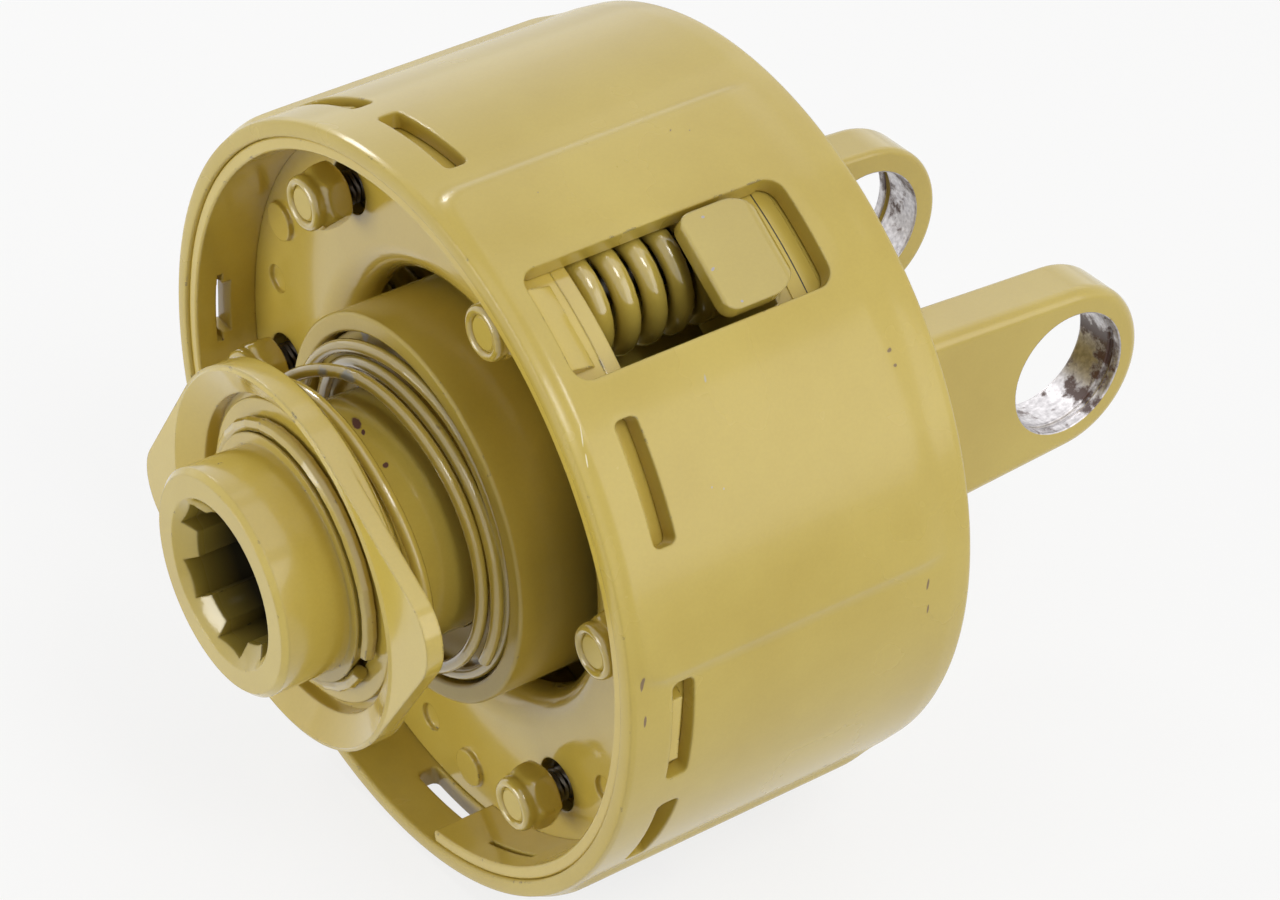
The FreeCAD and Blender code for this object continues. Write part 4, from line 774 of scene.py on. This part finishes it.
TAB_HALF = 11.3
TAB_TOP = 96.0
TAB_LOW, TAB_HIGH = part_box("pressure_plate")
TAB_CORNERS = ((TAB_HIGH.x / MM, 1.0, 8.0, 83.6), (TAB_LOW.x / MM, -1.0, 3.0, 84.6))
OPEN_SLIT = [(48.3, -7.4), (52.0, -7.4), (52.0, 6.6), (48.3, 6.6)]
tab_cuts = []
for end, way, corner, foot in TAB_CORNERS:
    for turn in WINDOW_TURNS:
        for side in (-1.0, 1.0):
            tab_cuts.append((corner_outline(end, way, TAB_HALF, corner, side), foot, TAB_TOP, turn))
CUTS = {"retaining_band": [(OPEN_SLIT, 80.0, 92.0, WINDOW_TURNS[2])], "pressure_plate": tab_cuts}
print("corners to cut:", len(tab_cuts))

# %% [markdown]
# Where the frame's piece already has the right form, a copy of it is merged, its cuts are made, its flat
# facets are dissolved into whole faces, and its edges are rounded.

# %% Rounded copies
FACET_ANGLE = 0.4
SHARP_ANGLE = 38.0
SMOOTH_ANGLE = 32.0
WIDE_EDGE = 0.65


def rounded_copy(node, width):
    """Copy a frame piece, merge it, round its edges and let the copy stand for it."""
    mesh = nodes[node].data.copy()
    piece = bpy.data.objects.new(node + "_dressed", mesh)
    scene.collection.objects.link(piece)
    select_only(piece)
    merge_points()
    bpy.ops.object.mode_set(mode="OBJECT")
    for outline, low, high, turn in CUTS.get(node, []):
        cut_away(piece, cutting_block(outline, low, high, turn))
    merge_points()
    bpy.ops.mesh.dissolve_limited(angle_limit=math.radians(FACET_ANGLE))
    bpy.ops.object.mode_set(mode="OBJECT")
    bpy.ops.mesh.customdata_custom_splitnormals_clear()
    round_edges(piece, width, 3 if width > WIDE_EDGE else 2, SHARP_ANGLE)
    even_shading(piece, SMOOTH_ANGLE)
    finish_piece(piece, node)


EDGE_WIDTHS = {
    "retaining_band": 0.3,
    "front_plate": 0.35,
    "lock_collar": 1.1,
    "spline_hub": 0.6,
    "freewheel_ring": 0.7,
    "pressure_plate": 0.7,
    "friction_disc_front": 0.15,
    "friction_disc_rear": 0.15,
    "drive_plate": 0.15,
    "floor_ring": 0.5,
    "yoke": 0.9,
    "fork_rivets": 0.6,
    "collar_washer": 0.3,
    "spring_seat_washer": 0.3,
}
for node, width in EDGE_WIDTHS.items():
    rounded_copy(node, width)
print("rounded copies:", sorted(DRESSED))

# %% [markdown]
# The drum is pressed from plate: an open cup with three raised pads, three large windows for the tabs and
# the clutch springs, and nine slots near its mouth. It is modelled as one sheet of cells. A grid is bent
# around the shaft so that its rows follow the wall's section, once round the outside, the rear face and
# the inside. The cells at each window are taken out, the corners of the hole are rounded, and the outside is
# joined to the inside across the thickness of the wall.

# %% Drum section
DRUM_LOW, DRUM_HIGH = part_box("drum_housing")
DRUM_X = DRUM_LOW.x / MM
DRUM_END = DRUM_HIGH.x / MM
DRUM_R = 88.0
WALL_IN = 84.0
FLOOR_X = DRUM_END - 6.0
FLOOR_CURVE = 5.0
BUSH_R = 25.0
CREASE_X = DRUM_END - 5.2
PAD_RISE = 1.05
WINDOW = {"x": (DRUM_X + 7.1, DRUM_X + 70.6), "half": 12.7, "corner": 4.0, "angles": (35.0,)}
SLOT = {"x": (DRUM_X + 10.6, DRUM_X + 15.8), "half": 13.2, "corner": 1.5, "angles": (58.0, 95.0, 118.0)}


def fill_between(stops, step):
    """Add even stops wherever two neighbours are further apart than a step."""
    filled = [stops[0]]
    for low, high in zip(stops, stops[1:]):
        count = max(1, math.ceil((high - low) / step - 1e-6))
        filled += [low + (high - low) * k / count for k in range(1, count + 1)]
    return filled


wx0, wx1 = WINDOW["x"]
sx0, sx1 = SLOT["x"]
x_stops = [DRUM_X + 5.4, wx0, wx0 + 1.2, wx0 + 2.4, sx0, sx0 + 0.5, sx0 + 1.5, sx1 - 1.5, sx1 - 0.5, sx1]
x_stops += [wx1 - 4.0, wx1 - 2.6, wx1 - 1.2, wx1]
x_wall = fill_between([DRUM_X + 1.2, DRUM_X + 5.4], 0.7) + fill_between(x_stops, 2.6)
x_wall = sorted(set(round(v, 4) for v in x_wall))
x_inner_end = FLOOR_X - FLOOR_CURVE
x_tail = fill_between([wx1, x_inner_end], 1.6)[1:]
x_rear = fill_between([x_inner_end, CREASE_X, DRUM_END - 1.0], 1.4)[1:]

sector = [8.0, 8.8, 9.4, 10.0, 10.6, 11.2, 12.0, 13.0, 82.4, 83.4, 84.2, 84.8, 85.4]
for hole, corner_steps in ((WINDOW, (0.0, 0.7, 1.55, 2.6)), (SLOT, (0.0, 0.35, 0.98))):
    hole["half_turn"] = half = math.degrees(math.asin(hole["half"] / DRUM_R))
    for angle in hole["angles"]:
        for step in corner_steps:
            sector += [angle - half + step, angle + half - step]
sector = sorted(set(round(v, 4) for v in sector))
sector = [v for k, v in enumerate(sector) if k == 0 or v - sector[k - 1] > 0.05]
turns = [v + 120.0 * k for k in range(3) for v in sector]
turns = fill_between(turns + [turns[0] + 360.0], 1.5)
print("drum wall:", len(x_wall), "stations,", len(turns) - 1, "turns")

# %% [markdown]
# The three pads are where the drum was sized over a former: a little over a millimetre high, with soft
# sides, rounded front corners, and a back that fades away before the crease at the rear edge.


# %% Drum pads
PAD_TURN = 48.0
PAD_HALF_TURN = 38.0
PAD_CORNER = 8.0
PAD_CLIMB = 2.7
PAD_FRONT = DRUM_X + 1.3
PAD_FADE = DRUM_END - 15.0


def soft_step(low, high, value):
    """Smooth climb from nothing at low to full at high."""
    share = min(1.0, max(0.0, (value - low) / (high - low)))
    return share * share * (3.0 - 2.0 * share)


def pad_height(station, turn):
    """How far the pad stands out of the drum at a place."""
    around = (turn - PAD_TURN + 60.0) % 120.0 - 60.0
    side = math.radians(PAD_HALF_TURN - abs(around)) * DRUM_R
    front = station - PAD_FRONT
    if side < PAD_CORNER and front < PAD_CORNER:
        inside = PAD_CORNER - math.hypot(PAD_CORNER - side, PAD_CORNER - front)
    else:
        inside = min(side, front)
    fade = 1.0 - soft_step(PAD_FADE, CREASE_X, station)
    return PAD_RISE * soft_step(0.0, PAD_CLIMB, inside) * fade


def outer_radius(station, turn):
    """Outside of the drum with its pads and the slight taper behind the crease."""
    taper = 0.5 * max(0.0, station - CREASE_X) / (DRUM_END - CREASE_X)
    return DRUM_R - taper + pad_height(station, turn)


print("pad height:", round(pad_height(DRUM_X + 40.0, PAD_TURN), 2), "mm")

# %% [markdown]
# The section runs from the mouth along the outside, over the rear edge, down the rear face to the hole for
# the bush, and back along the inside. A helper makes the grid and gives its corners by row and column.

# %% Drum sheet
section = [("inner", DRUM_X + 0.6, WALL_IN), ("lip", DRUM_X + 0.15, WALL_IN + 0.25)]
section += [("lip", DRUM_X, WALL_IN + 0.8), ("lip", DRUM_X, DRUM_R - 1.2)]
section += [("lip", DRUM_X + 0.35, DRUM_R - 0.35)]
section += [("outer", x, None) for x in x_wall + x_tail + x_rear]
section += [("lip", DRUM_END - 0.3, DRUM_R - 0.8), ("lip", DRUM_END, DRUM_R - 1.5)]
section += [("rear", DRUM_END, r) for r in (82.0, 70.0, 56.0, 40.0, BUSH_R)]
curve_r = WALL_IN - FLOOR_CURVE
section += [("rear", FLOOR_X, r) for r in (BUSH_R, 40.0, 56.0, 70.0, curve_r)]
for step in (math.radians(30.0), math.radians(60.0)):
    x = x_inner_end + FLOOR_CURVE * math.cos(step)
    section.append(("rear", x, curve_r + FLOOR_CURVE * math.sin(step)))
section += [("inner", x, WALL_IN) for x in reversed(x_wall + x_tail)]
section.append(section[0])
rows = len(section) - 1
columns = len(turns) - 1


def inner_turn(turn):
    """Widen the windows inside the wall, because their sides are parallel and not radial."""
    for hole in (WINDOW, SLOT):
        half = hole["half_turn"]
        wide = math.degrees(math.asin(hole["half"] / WALL_IN))
        for angle in hole["angles"]:
            away = (turn - angle + 60.0) % 120.0 - 60.0
            if abs(away) <= half + 1e-6:
                return turn + away * (wide / half - 1.0)
    return turn


def open_sheet(name, rows, columns):
    """A grid in edit mode, with its mesh and its corners by row and column."""
    bpy.ops.object.select_all(action="DESELECT")
    bpy.ops.mesh.primitive_grid_add(x_subdivisions=rows, y_subdivisions=columns, size=2.0)
    skin = bpy.context.object
    skin.name = name
    bpy.ops.object.mode_set(mode="EDIT")
    sheet = bmesh.from_edit_mesh(skin.data)
    corners = {}
    for vert in sheet.verts:
        row = round((vert.co.x + 1.0) / 2.0 * rows)
        column = round((vert.co.y + 1.0) / 2.0 * columns)
        corners[row, column] = vert
    return skin, sheet, corners


drum, sheet, cell = open_sheet("drum_housing_dressed", rows, columns)
print("sheet:", rows, "by", columns, "cells,", len(cell), "corners")

# %% [markdown]
# The corner of each hole is rounded before the sheet is bent: the stations and turns of the corners along
# its edge are slid onto a quarter circle.


# %% Window and slot outlines
def find_stop(stops, value):
    """The index of the stop at a value."""
    return min(range(len(stops)), key=lambda k: abs(stops[k] - value))


def stops_within(stops, first, step, reach):
    """The indices of the stops from a first one, one way, as far as a reach."""
    found = [first]
    while abs(stops[found[-1] + step] - stops[first]) <= reach + 0.02:
        found.append(found[-1] + step)
    return found


def rounded_stop(hole, row, column, hole_rows, hole_columns, stations, spins):
    """Where a point on the edge of a hole goes, as a station and a turn, once the corner is round."""
    corner = hole["corner"]
    per_mm = 180.0 / math.pi / DRUM_R
    r0, r1 = hole_rows
    c0, c1 = hole_columns
    for row_end, row_step in ((r0, 1), (r1, -1)):
        along = stops_within(stations, row_end, row_step, corner)
        for column_end, column_step in ((c0, 1), (c1, -1)):
            around = stops_within(spins, column_end, column_step, corner * per_mm)
            share = None
            if column == column_end and row in along:
                share = 0.5 * (1.0 - along.index(row) / (len(along) - 1))
            elif row == row_end and column in around:
                share = 0.5 + 0.5 * around.index(column) / (len(around) - 1)
            if share is not None:
                spin = share * math.pi / 2.0
                x = stations[row_end] + row_step * corner * (1.0 - math.sin(spin))
                t = spins[column_end] + column_step * corner * per_mm * (1.0 - math.cos(spin))
                return x, t
    return stations[row], spins[column]


print("corners of the holes:", WINDOW["corner"], "and", SLOT["corner"], "mm")

# %% [markdown]
# Each window and each slot comes three times. Its edges lie on stops of the grid, so it is known by four
# numbers, its first and last row and its first and last column.

# %% Holes in the sheet
wall_rows = [k for k, spot in enumerate(section[:-1]) if spot[0] == "outer"]
first_outer = wall_rows[0]
inner_rows = {round(section[k][1], 4): k for k in range(rows) if section[k][0] == "inner"}
stations = [spot[1] for spot in section]
wall_stations = [stations[k] for k in wall_rows]
moved = {}
holes = []
for hole in (WINDOW, SLOT):
    r0, r1 = (first_outer + find_stop(wall_stations, x) for x in hole["x"])
    for angle in [angle + 120.0 * k for angle in hole["angles"] for k in range(3)]:
        low_turn = angle - hole["half_turn"]
        low_turn += 360.0 if low_turn < turns[0] else 0.0
        c0 = find_stop(turns, low_turn)
        c1 = find_stop(turns, low_turn + 2.0 * hole["half_turn"])
        holes.append((r0, r1, c0, c1))
        edge_cells = [(r, c) for r in (r0, r1) for c in range(c0, c1 + 1)]
        edge_cells += [(r, c) for r in range(r0, r1 + 1) for c in (c0, c1)]
        for r, c in edge_cells:
            moved[r, c] = rounded_stop(hole, r, c, (r0, r1), (c0, c1), stations, turns)
print("holes:", len(holes), "with", len(moved), "edge corners")

# %% [markdown]
# Now every corner of the grid goes to its place around the shaft. The cells inside each hole are taken out
# on both sides of the wall, and the outside is joined to the inside around the hole.

# %% Bend the sheet and open the holes
for (row, column), vert in cell.items():
    kind, station, reach = section[row]
    turn = turns[column]
    outer_row = first_outer + find_stop(wall_stations, station) if kind == "inner" else row
    if (outer_row, column) in moved:
        station, turn = moved[outer_row, column]
    if kind == "outer":
        reach = outer_radius(station, turn)
    vert.co = at_shaft(station, reach, inner_turn(turn) if kind == "inner" else turn)


def inner_row(row):
    """The row inside the wall at the station of an outer row."""
    return inner_rows[round(stations[row], 4)]


doomed = []
bridges = []
for r0, r1, c0, c1 in holes:
    for low_row, high_row in ((r0, r1), (inner_row(r1), inner_row(r0))):
        inside = {cell[r, c] for r in range(low_row, high_row + 1) for c in range(c0, c1 + 1)}
        for vert in inside:
            doomed += [face for face in vert.link_faces if all(v in inside for v in face.verts)]
    loop = [(r0, c) for c in range(c0, c1)] + [(r, c1) for r in range(r0, r1)]
    loop += [(r1, c) for c in range(c1, c0, -1)] + [(r, c0) for r in range(r1, r0, -1)]
    for here, there in zip(loop, loop[1:] + loop[:1]):
        (out_a, in_a), (out_b, in_b) = ((cell[r, c], cell[inner_row(r), c]) for r, c in (here, there))
        bridges.append((out_a, out_b, in_b, in_a))
bmesh.ops.delete(sheet, geom=list(set(doomed)), context="FACES")
for corners in bridges:
    sheet.faces.new(corners)
bmesh.update_edit_mesh(drum.data)
close_seams()
round_edges(drum, 0.35, 2, 50, clamp=False)
even_shading(drum, 40)
finish_piece(drum, "drum_housing")
print("drum:", len(drum.data.polygons), "faces")

# %% [markdown]
# The clutch springs are wound from thick round wire, with the last turn at each end closed up and ground
# flat against its seat. A coil is a wire along a path, so each is a curve with a round section, made into a
# mesh. The turns close up towards both ends.


# %% Wire along a path
WIRE_SMOOTH = 50


def wire_mesh(name, points, radius, sides):
    """A round wire along points, closed at both ends."""
    path = bpy.data.curves.new(name, "CURVE")
    path.dimensions = "3D"
    path.bevel_depth = radius
    path.bevel_resolution = sides
    path.use_fill_caps = True
    line = path.splines.new("POLY")
    line.points.add(len(points) - 1)
    for spot, point in zip(line.points, points):
        spot.co = (*point, 1.0)
    wire = bpy.data.objects.new(name, path)
    scene.collection.objects.link(wire)
    select_only(wire)
    bpy.ops.object.convert(target="MESH")
    wire = bpy.context.object
    close_seams()
    bpy.ops.object.shade_smooth_by_angle(angle=math.radians(WIRE_SMOOTH))
    return wire


def joined(pieces, name):
    """Join several meshes into one object."""
    select_only(pieces[0])
    for piece in pieces:
        piece.select_set(True)
    bpy.ops.object.join()
    whole = bpy.context.object
    whole.name = name
    whole.data.name = name
    return whole


print("wire is smooth below", WIRE_SMOOTH, "degrees")

# %% [markdown]
# Six springs sit on the circle of the studs. Their wire is drawn a little thinner than the solid one, so
# that dark gaps show between the turns.

# %% Clutch springs
STUD_TURNS = [26.6 + 60.0 * k for k in range(6)]
STUD_CIRCLE = 68.3
COIL_R = 12.0
COIL_WIRE = 2.95
COIL_SKIN = 2.62
COIL_TURNS = 6.1
COIL_PHASE = 0.22
CLOSED_TURNS = 0.75
CLOSED_SHARE = 0.02
COIL_STEPS = 150
coil_low, coil_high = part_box("clutch_springs")
coil_start = coil_low.x / MM + COIL_WIRE
coil_span = (coil_high.x - coil_low.x) / MM - 2 * COIL_WIRE


def coil_points(centre_turn):
    """The middle line of one clutch spring, placed at its stud."""
    up = at_shaft(0.0, 1.0, centre_turn)
    side = at_shaft(0.0, 1.0, centre_turn + 90.0)
    found = []
    for step in range(COIL_STEPS + 1):
        turn = COIL_TURNS * step / COIL_STEPS
        if turn < CLOSED_TURNS:
            share = CLOSED_SHARE * turn / CLOSED_TURNS
        elif turn > COIL_TURNS - CLOSED_TURNS:
            share = 1.0 - CLOSED_SHARE * (COIL_TURNS - turn) / CLOSED_TURNS
        else:
            open_turns = COIL_TURNS - 2.0 * CLOSED_TURNS
            share = CLOSED_SHARE + (1.0 - 2.0 * CLOSED_SHARE) * (turn - CLOSED_TURNS) / open_turns
        spin = 2 * math.pi * (turn + COIL_PHASE)
        point = up * (STUD_CIRCLE + COIL_R * math.cos(spin)) + side * (COIL_R * math.sin(spin))
        found.append(point + Vector(((coil_start + coil_span * share) * MM, 0.0, 0.0)))
    return found


coils = []
for k, turn in enumerate(STUD_TURNS):
    coils.append(wire_mesh("coil_%d" % k, coil_points(turn), COIL_SKIN * MM, 5))
clutch_springs = joined(coils, "clutch_springs_wound")
coil_ends = (coil_low.x + 2 * COIL_WIRE * MM, coil_high.x - 2 * COIL_WIRE * MM)
finish_piece(clutch_springs, "clutch_springs", between=("drum", "pressure", *coil_ends))
print("clutch springs:", len(clutch_springs.data.polygons), "faces")

# %% [markdown]
# The collar's return spring is the loose wire around the hub. It lies round the collar once, crosses over to
# the hub's shoulder and winds up there in nested turns. Its stations and radii at each turn were read from
# the picture, and a smooth curve goes through them.

# %% Return spring
SPRING_KNOTS = [
    (-100, 28.2, 35.0), (-60, 27.6, 35.0), (-10, 26.6, 35.0), (16, 26.6, 35.0), (42, 27.0, 35.0),
    (60, 28.1, 35.0), (80, 28.7, 35.0), (200, 30.0, 35.0), (290, 31.5, 35.0), (330, 34.6, 35.0),
    (340, 36.6, 35.0), (350, 38.1, 35.0), (360, 38.9, 35.0), (373, 39.4, 35.0), (394, 40.9, 35.0),
    (424, 42.2, 34.9), (449, 42.5, 34.7), (470, 42.5, 34.3), (500, 42.5, 34.3), (560, 42.5, 37.4),
    (660, 43.2, 37.6), (702, 44.1, 37.6), (725, 45.4, 37.8), (755, 47.0, 38.0), (940, 47.1, 38.0),
    (1010, 46.6, 34.0), (1050, 44.0, 33.9), (1062, 43.0, 34.4), (1088, 43.6, 34.6), (1100, 43.9, 34.7),
    (1113, 44.6, 34.8), (1127, 45.2, 35.0), (1140, 45.0, 36.0), (1152, 44.7, 37.1), (1166, 44.2, 37.9),
    (1201, 43.9, 38.0)]


def spring_place(turn):
    """Station and radius of the return spring at a turn."""
    for low, high in zip(SPRING_KNOTS, SPRING_KNOTS[1:]):
        if turn <= high[0]:
            share = (turn - low[0]) / (high[0] - low[0])
            return low[1] + (high[1] - low[1]) * share, low[2] + (high[2] - low[2]) * share
    return SPRING_KNOTS[-1][1:]


def smooth_place(turn):
    """The same place, averaged over a short stretch so that the wire has no kinks."""
    total = Vector((0.0, 0.0))
    for step in range(-4, 5):
        near = min(SPRING_KNOTS[-1][0], max(SPRING_KNOTS[0][0], turn + 3.5 * step))
        total += Vector(spring_place(near))
    return total / 9.0


SPRING_WIRE = 1.5
SPRING_STEP = 5.0
SPRING_ENDS = (30.0 * MM, 42.0 * MM)
spring_steps = int((SPRING_KNOTS[-1][0] - SPRING_KNOTS[0][0]) / SPRING_STEP)
spring_turns = [SPRING_KNOTS[0][0] + SPRING_STEP * k for k in range(spring_steps + 1)]
spring_points = [at_shaft(*smooth_place(turn), turn) for turn in spring_turns]
return_spring = wire_mesh("collar_spring_wound", spring_points, SPRING_WIRE * MM, 4)
finish_piece(return_spring, "collar_spring", between=("collar", "hub", *SPRING_ENDS))
print("return spring:", len(return_spring.data.polygons), "faces")

# %% [markdown]
# Studs and nuts are bent sheets like the drum. One helper bends a sheet, and another brings six of them from
# the shaft's line, where they are made, to the circle of the studs.


# %% Bent sheets
def bent_sheet(name, rows, columns, place):
    """A sheet whose corners go where a function of row and column says, with its seams closed."""
    skin, sheet, corners = open_sheet(name, rows, columns)
    for (row, column), vert in corners.items():
        vert.co = place(row, column % columns)
    bmesh.update_edit_mesh(skin.data)
    close_seams()
    bpy.ops.object.shade_smooth_by_angle(angle=math.radians(40))
    return skin


def around_studs(pieces, name):
    """Move six pieces from the shaft's line to the six stud lines and join them."""
    for piece, turn in zip(pieces, STUD_TURNS):
        for vert in piece.data.vertices:
            vert.co += at_shaft(0.0, STUD_CIRCLE, turn)
    return joined(pieces, name)


print("stud circle:", STUD_CIRCLE, "mm")

# %% [markdown]
# Each stud shows a little of its thread between the nut and the plate. The thread is a sheet bent into a
# tube, whose radius follows the screw line as it goes round.

# %% Studs
STUD_LOW, STUD_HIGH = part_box("studs")
STUD_FRONT = STUD_LOW.x / MM
STUD_REAR = STUD_HIGH.x / MM
STUD_R = 4.0
STUD_SIDES = 28
PITCH = 1.25
THREAD_DEPTH = 0.62
TIP_CHAMFER = 0.55
THREAD_END = STUD_FRONT + 17.0
stud_stops = [STUD_FRONT, STUD_FRONT, STUD_FRONT + 0.5]
stud_stops += fill_between([STUD_FRONT + 0.8, THREAD_END], 0.3)
stud_stops += fill_between([THREAD_END + 0.3, STUD_REAR], 8.0) + [STUD_REAR]


def stud_radius(row, turn):
    """Radius of the stud's skin, with its thread near the free end."""
    station = stud_stops[row]
    if row in (0, len(stud_stops) - 1):
        return 0.0
    if row == 1:
        return STUD_R - TIP_CHAMFER
    if station < STUD_FRONT + 0.7 or station > THREAD_END:
        return STUD_R
    phase = ((station - STUD_FRONT) / PITCH - turn / 360.0) % 1.0
    return STUD_R - THREAD_DEPTH * abs(2.0 * phase - 1.0)


def stud_place(row, column):
    """A point of the stud's skin."""
    turn = 360.0 * column / STUD_SIDES
    return at_shaft(stud_stops[row], stud_radius(row, turn), turn)


stud_rows = len(stud_stops) - 1
stud_pieces = [bent_sheet("stud_%d" % k, stud_rows, STUD_SIDES, stud_place) for k in range(6)]
studs = around_studs(stud_pieces, "studs_threaded")
finish_piece(studs, "studs")
print("studs:", len(studs.data.polygons), "faces")

# %% [markdown]
# The lock nuts have a round collar in front, which holds the nylon ring, and soft hexagon flanks under thick
# paint. The nut is a sheet as well: each row has a round limit, and where the limit is wider than the
# hexagon, the hexagon shows. A little noise makes the paint look thick and uneven.

# %% Lock nuts
NUT_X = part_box("lock_nuts")[0].x / MM
NUT_SIDES = 60
NUT_HOLE = 4.2
HEX_HALF = 6.56
HEX_BLEND = 18
LUMP = 0.13
NUT_ROWS = [
    (0.75, 4.08), (0.30, 4.40), (0.00, 4.90), (0.05, 5.35), (0.35, 5.85), (0.95, 6.20), (1.60, 6.34),
    (2.20, 6.32), (2.65, 6.20), (3.05, 6.35), (3.50, 6.80), (4.10, 7.35), (4.90, 7.90), (6.50, 8.20),
    (8.10, 7.90), (8.80, 7.20), (9.15, 6.50), (9.20, 5.20), (9.20, 4.08), (0.75, 4.08)]


def nut_place(row, column, spin):
    """A point of the nut's skin: the softer of its round limit and its hexagon."""
    station, limit = NUT_ROWS[row]
    turn = 360.0 * column / NUT_SIDES
    if limit < NUT_HOLE:
        return at_shaft(NUT_X + station, limit, turn)
    away = (turn - spin + 30.0) % 60.0 - 30.0
    flank = HEX_HALF / math.cos(math.radians(away))
    reach = (limit ** -HEX_BLEND + flank ** -HEX_BLEND) ** (-1.0 / HEX_BLEND)
    lump = noise.noise(Vector((station * 0.45, turn * 0.035 + spin, limit * 0.35)))
    return at_shaft(NUT_X + station, min(reach, limit) + LUMP * lump, turn)


def nut_of(spin):
    """One nut turned by an angle."""
    rows = len(NUT_ROWS) - 1
    return bent_sheet("nut", rows, NUT_SIDES, lambda row, column: nut_place(row, column, spin))


nut_pieces = [nut_of(22.0 - 14.0 * k) for k in range(6)]
lock_nuts = around_studs(nut_pieces, "lock_nuts_soft")
finish_piece(lock_nuts, "lock_nuts")
print("nuts:", len(lock_nuts.data.polygons), "faces")
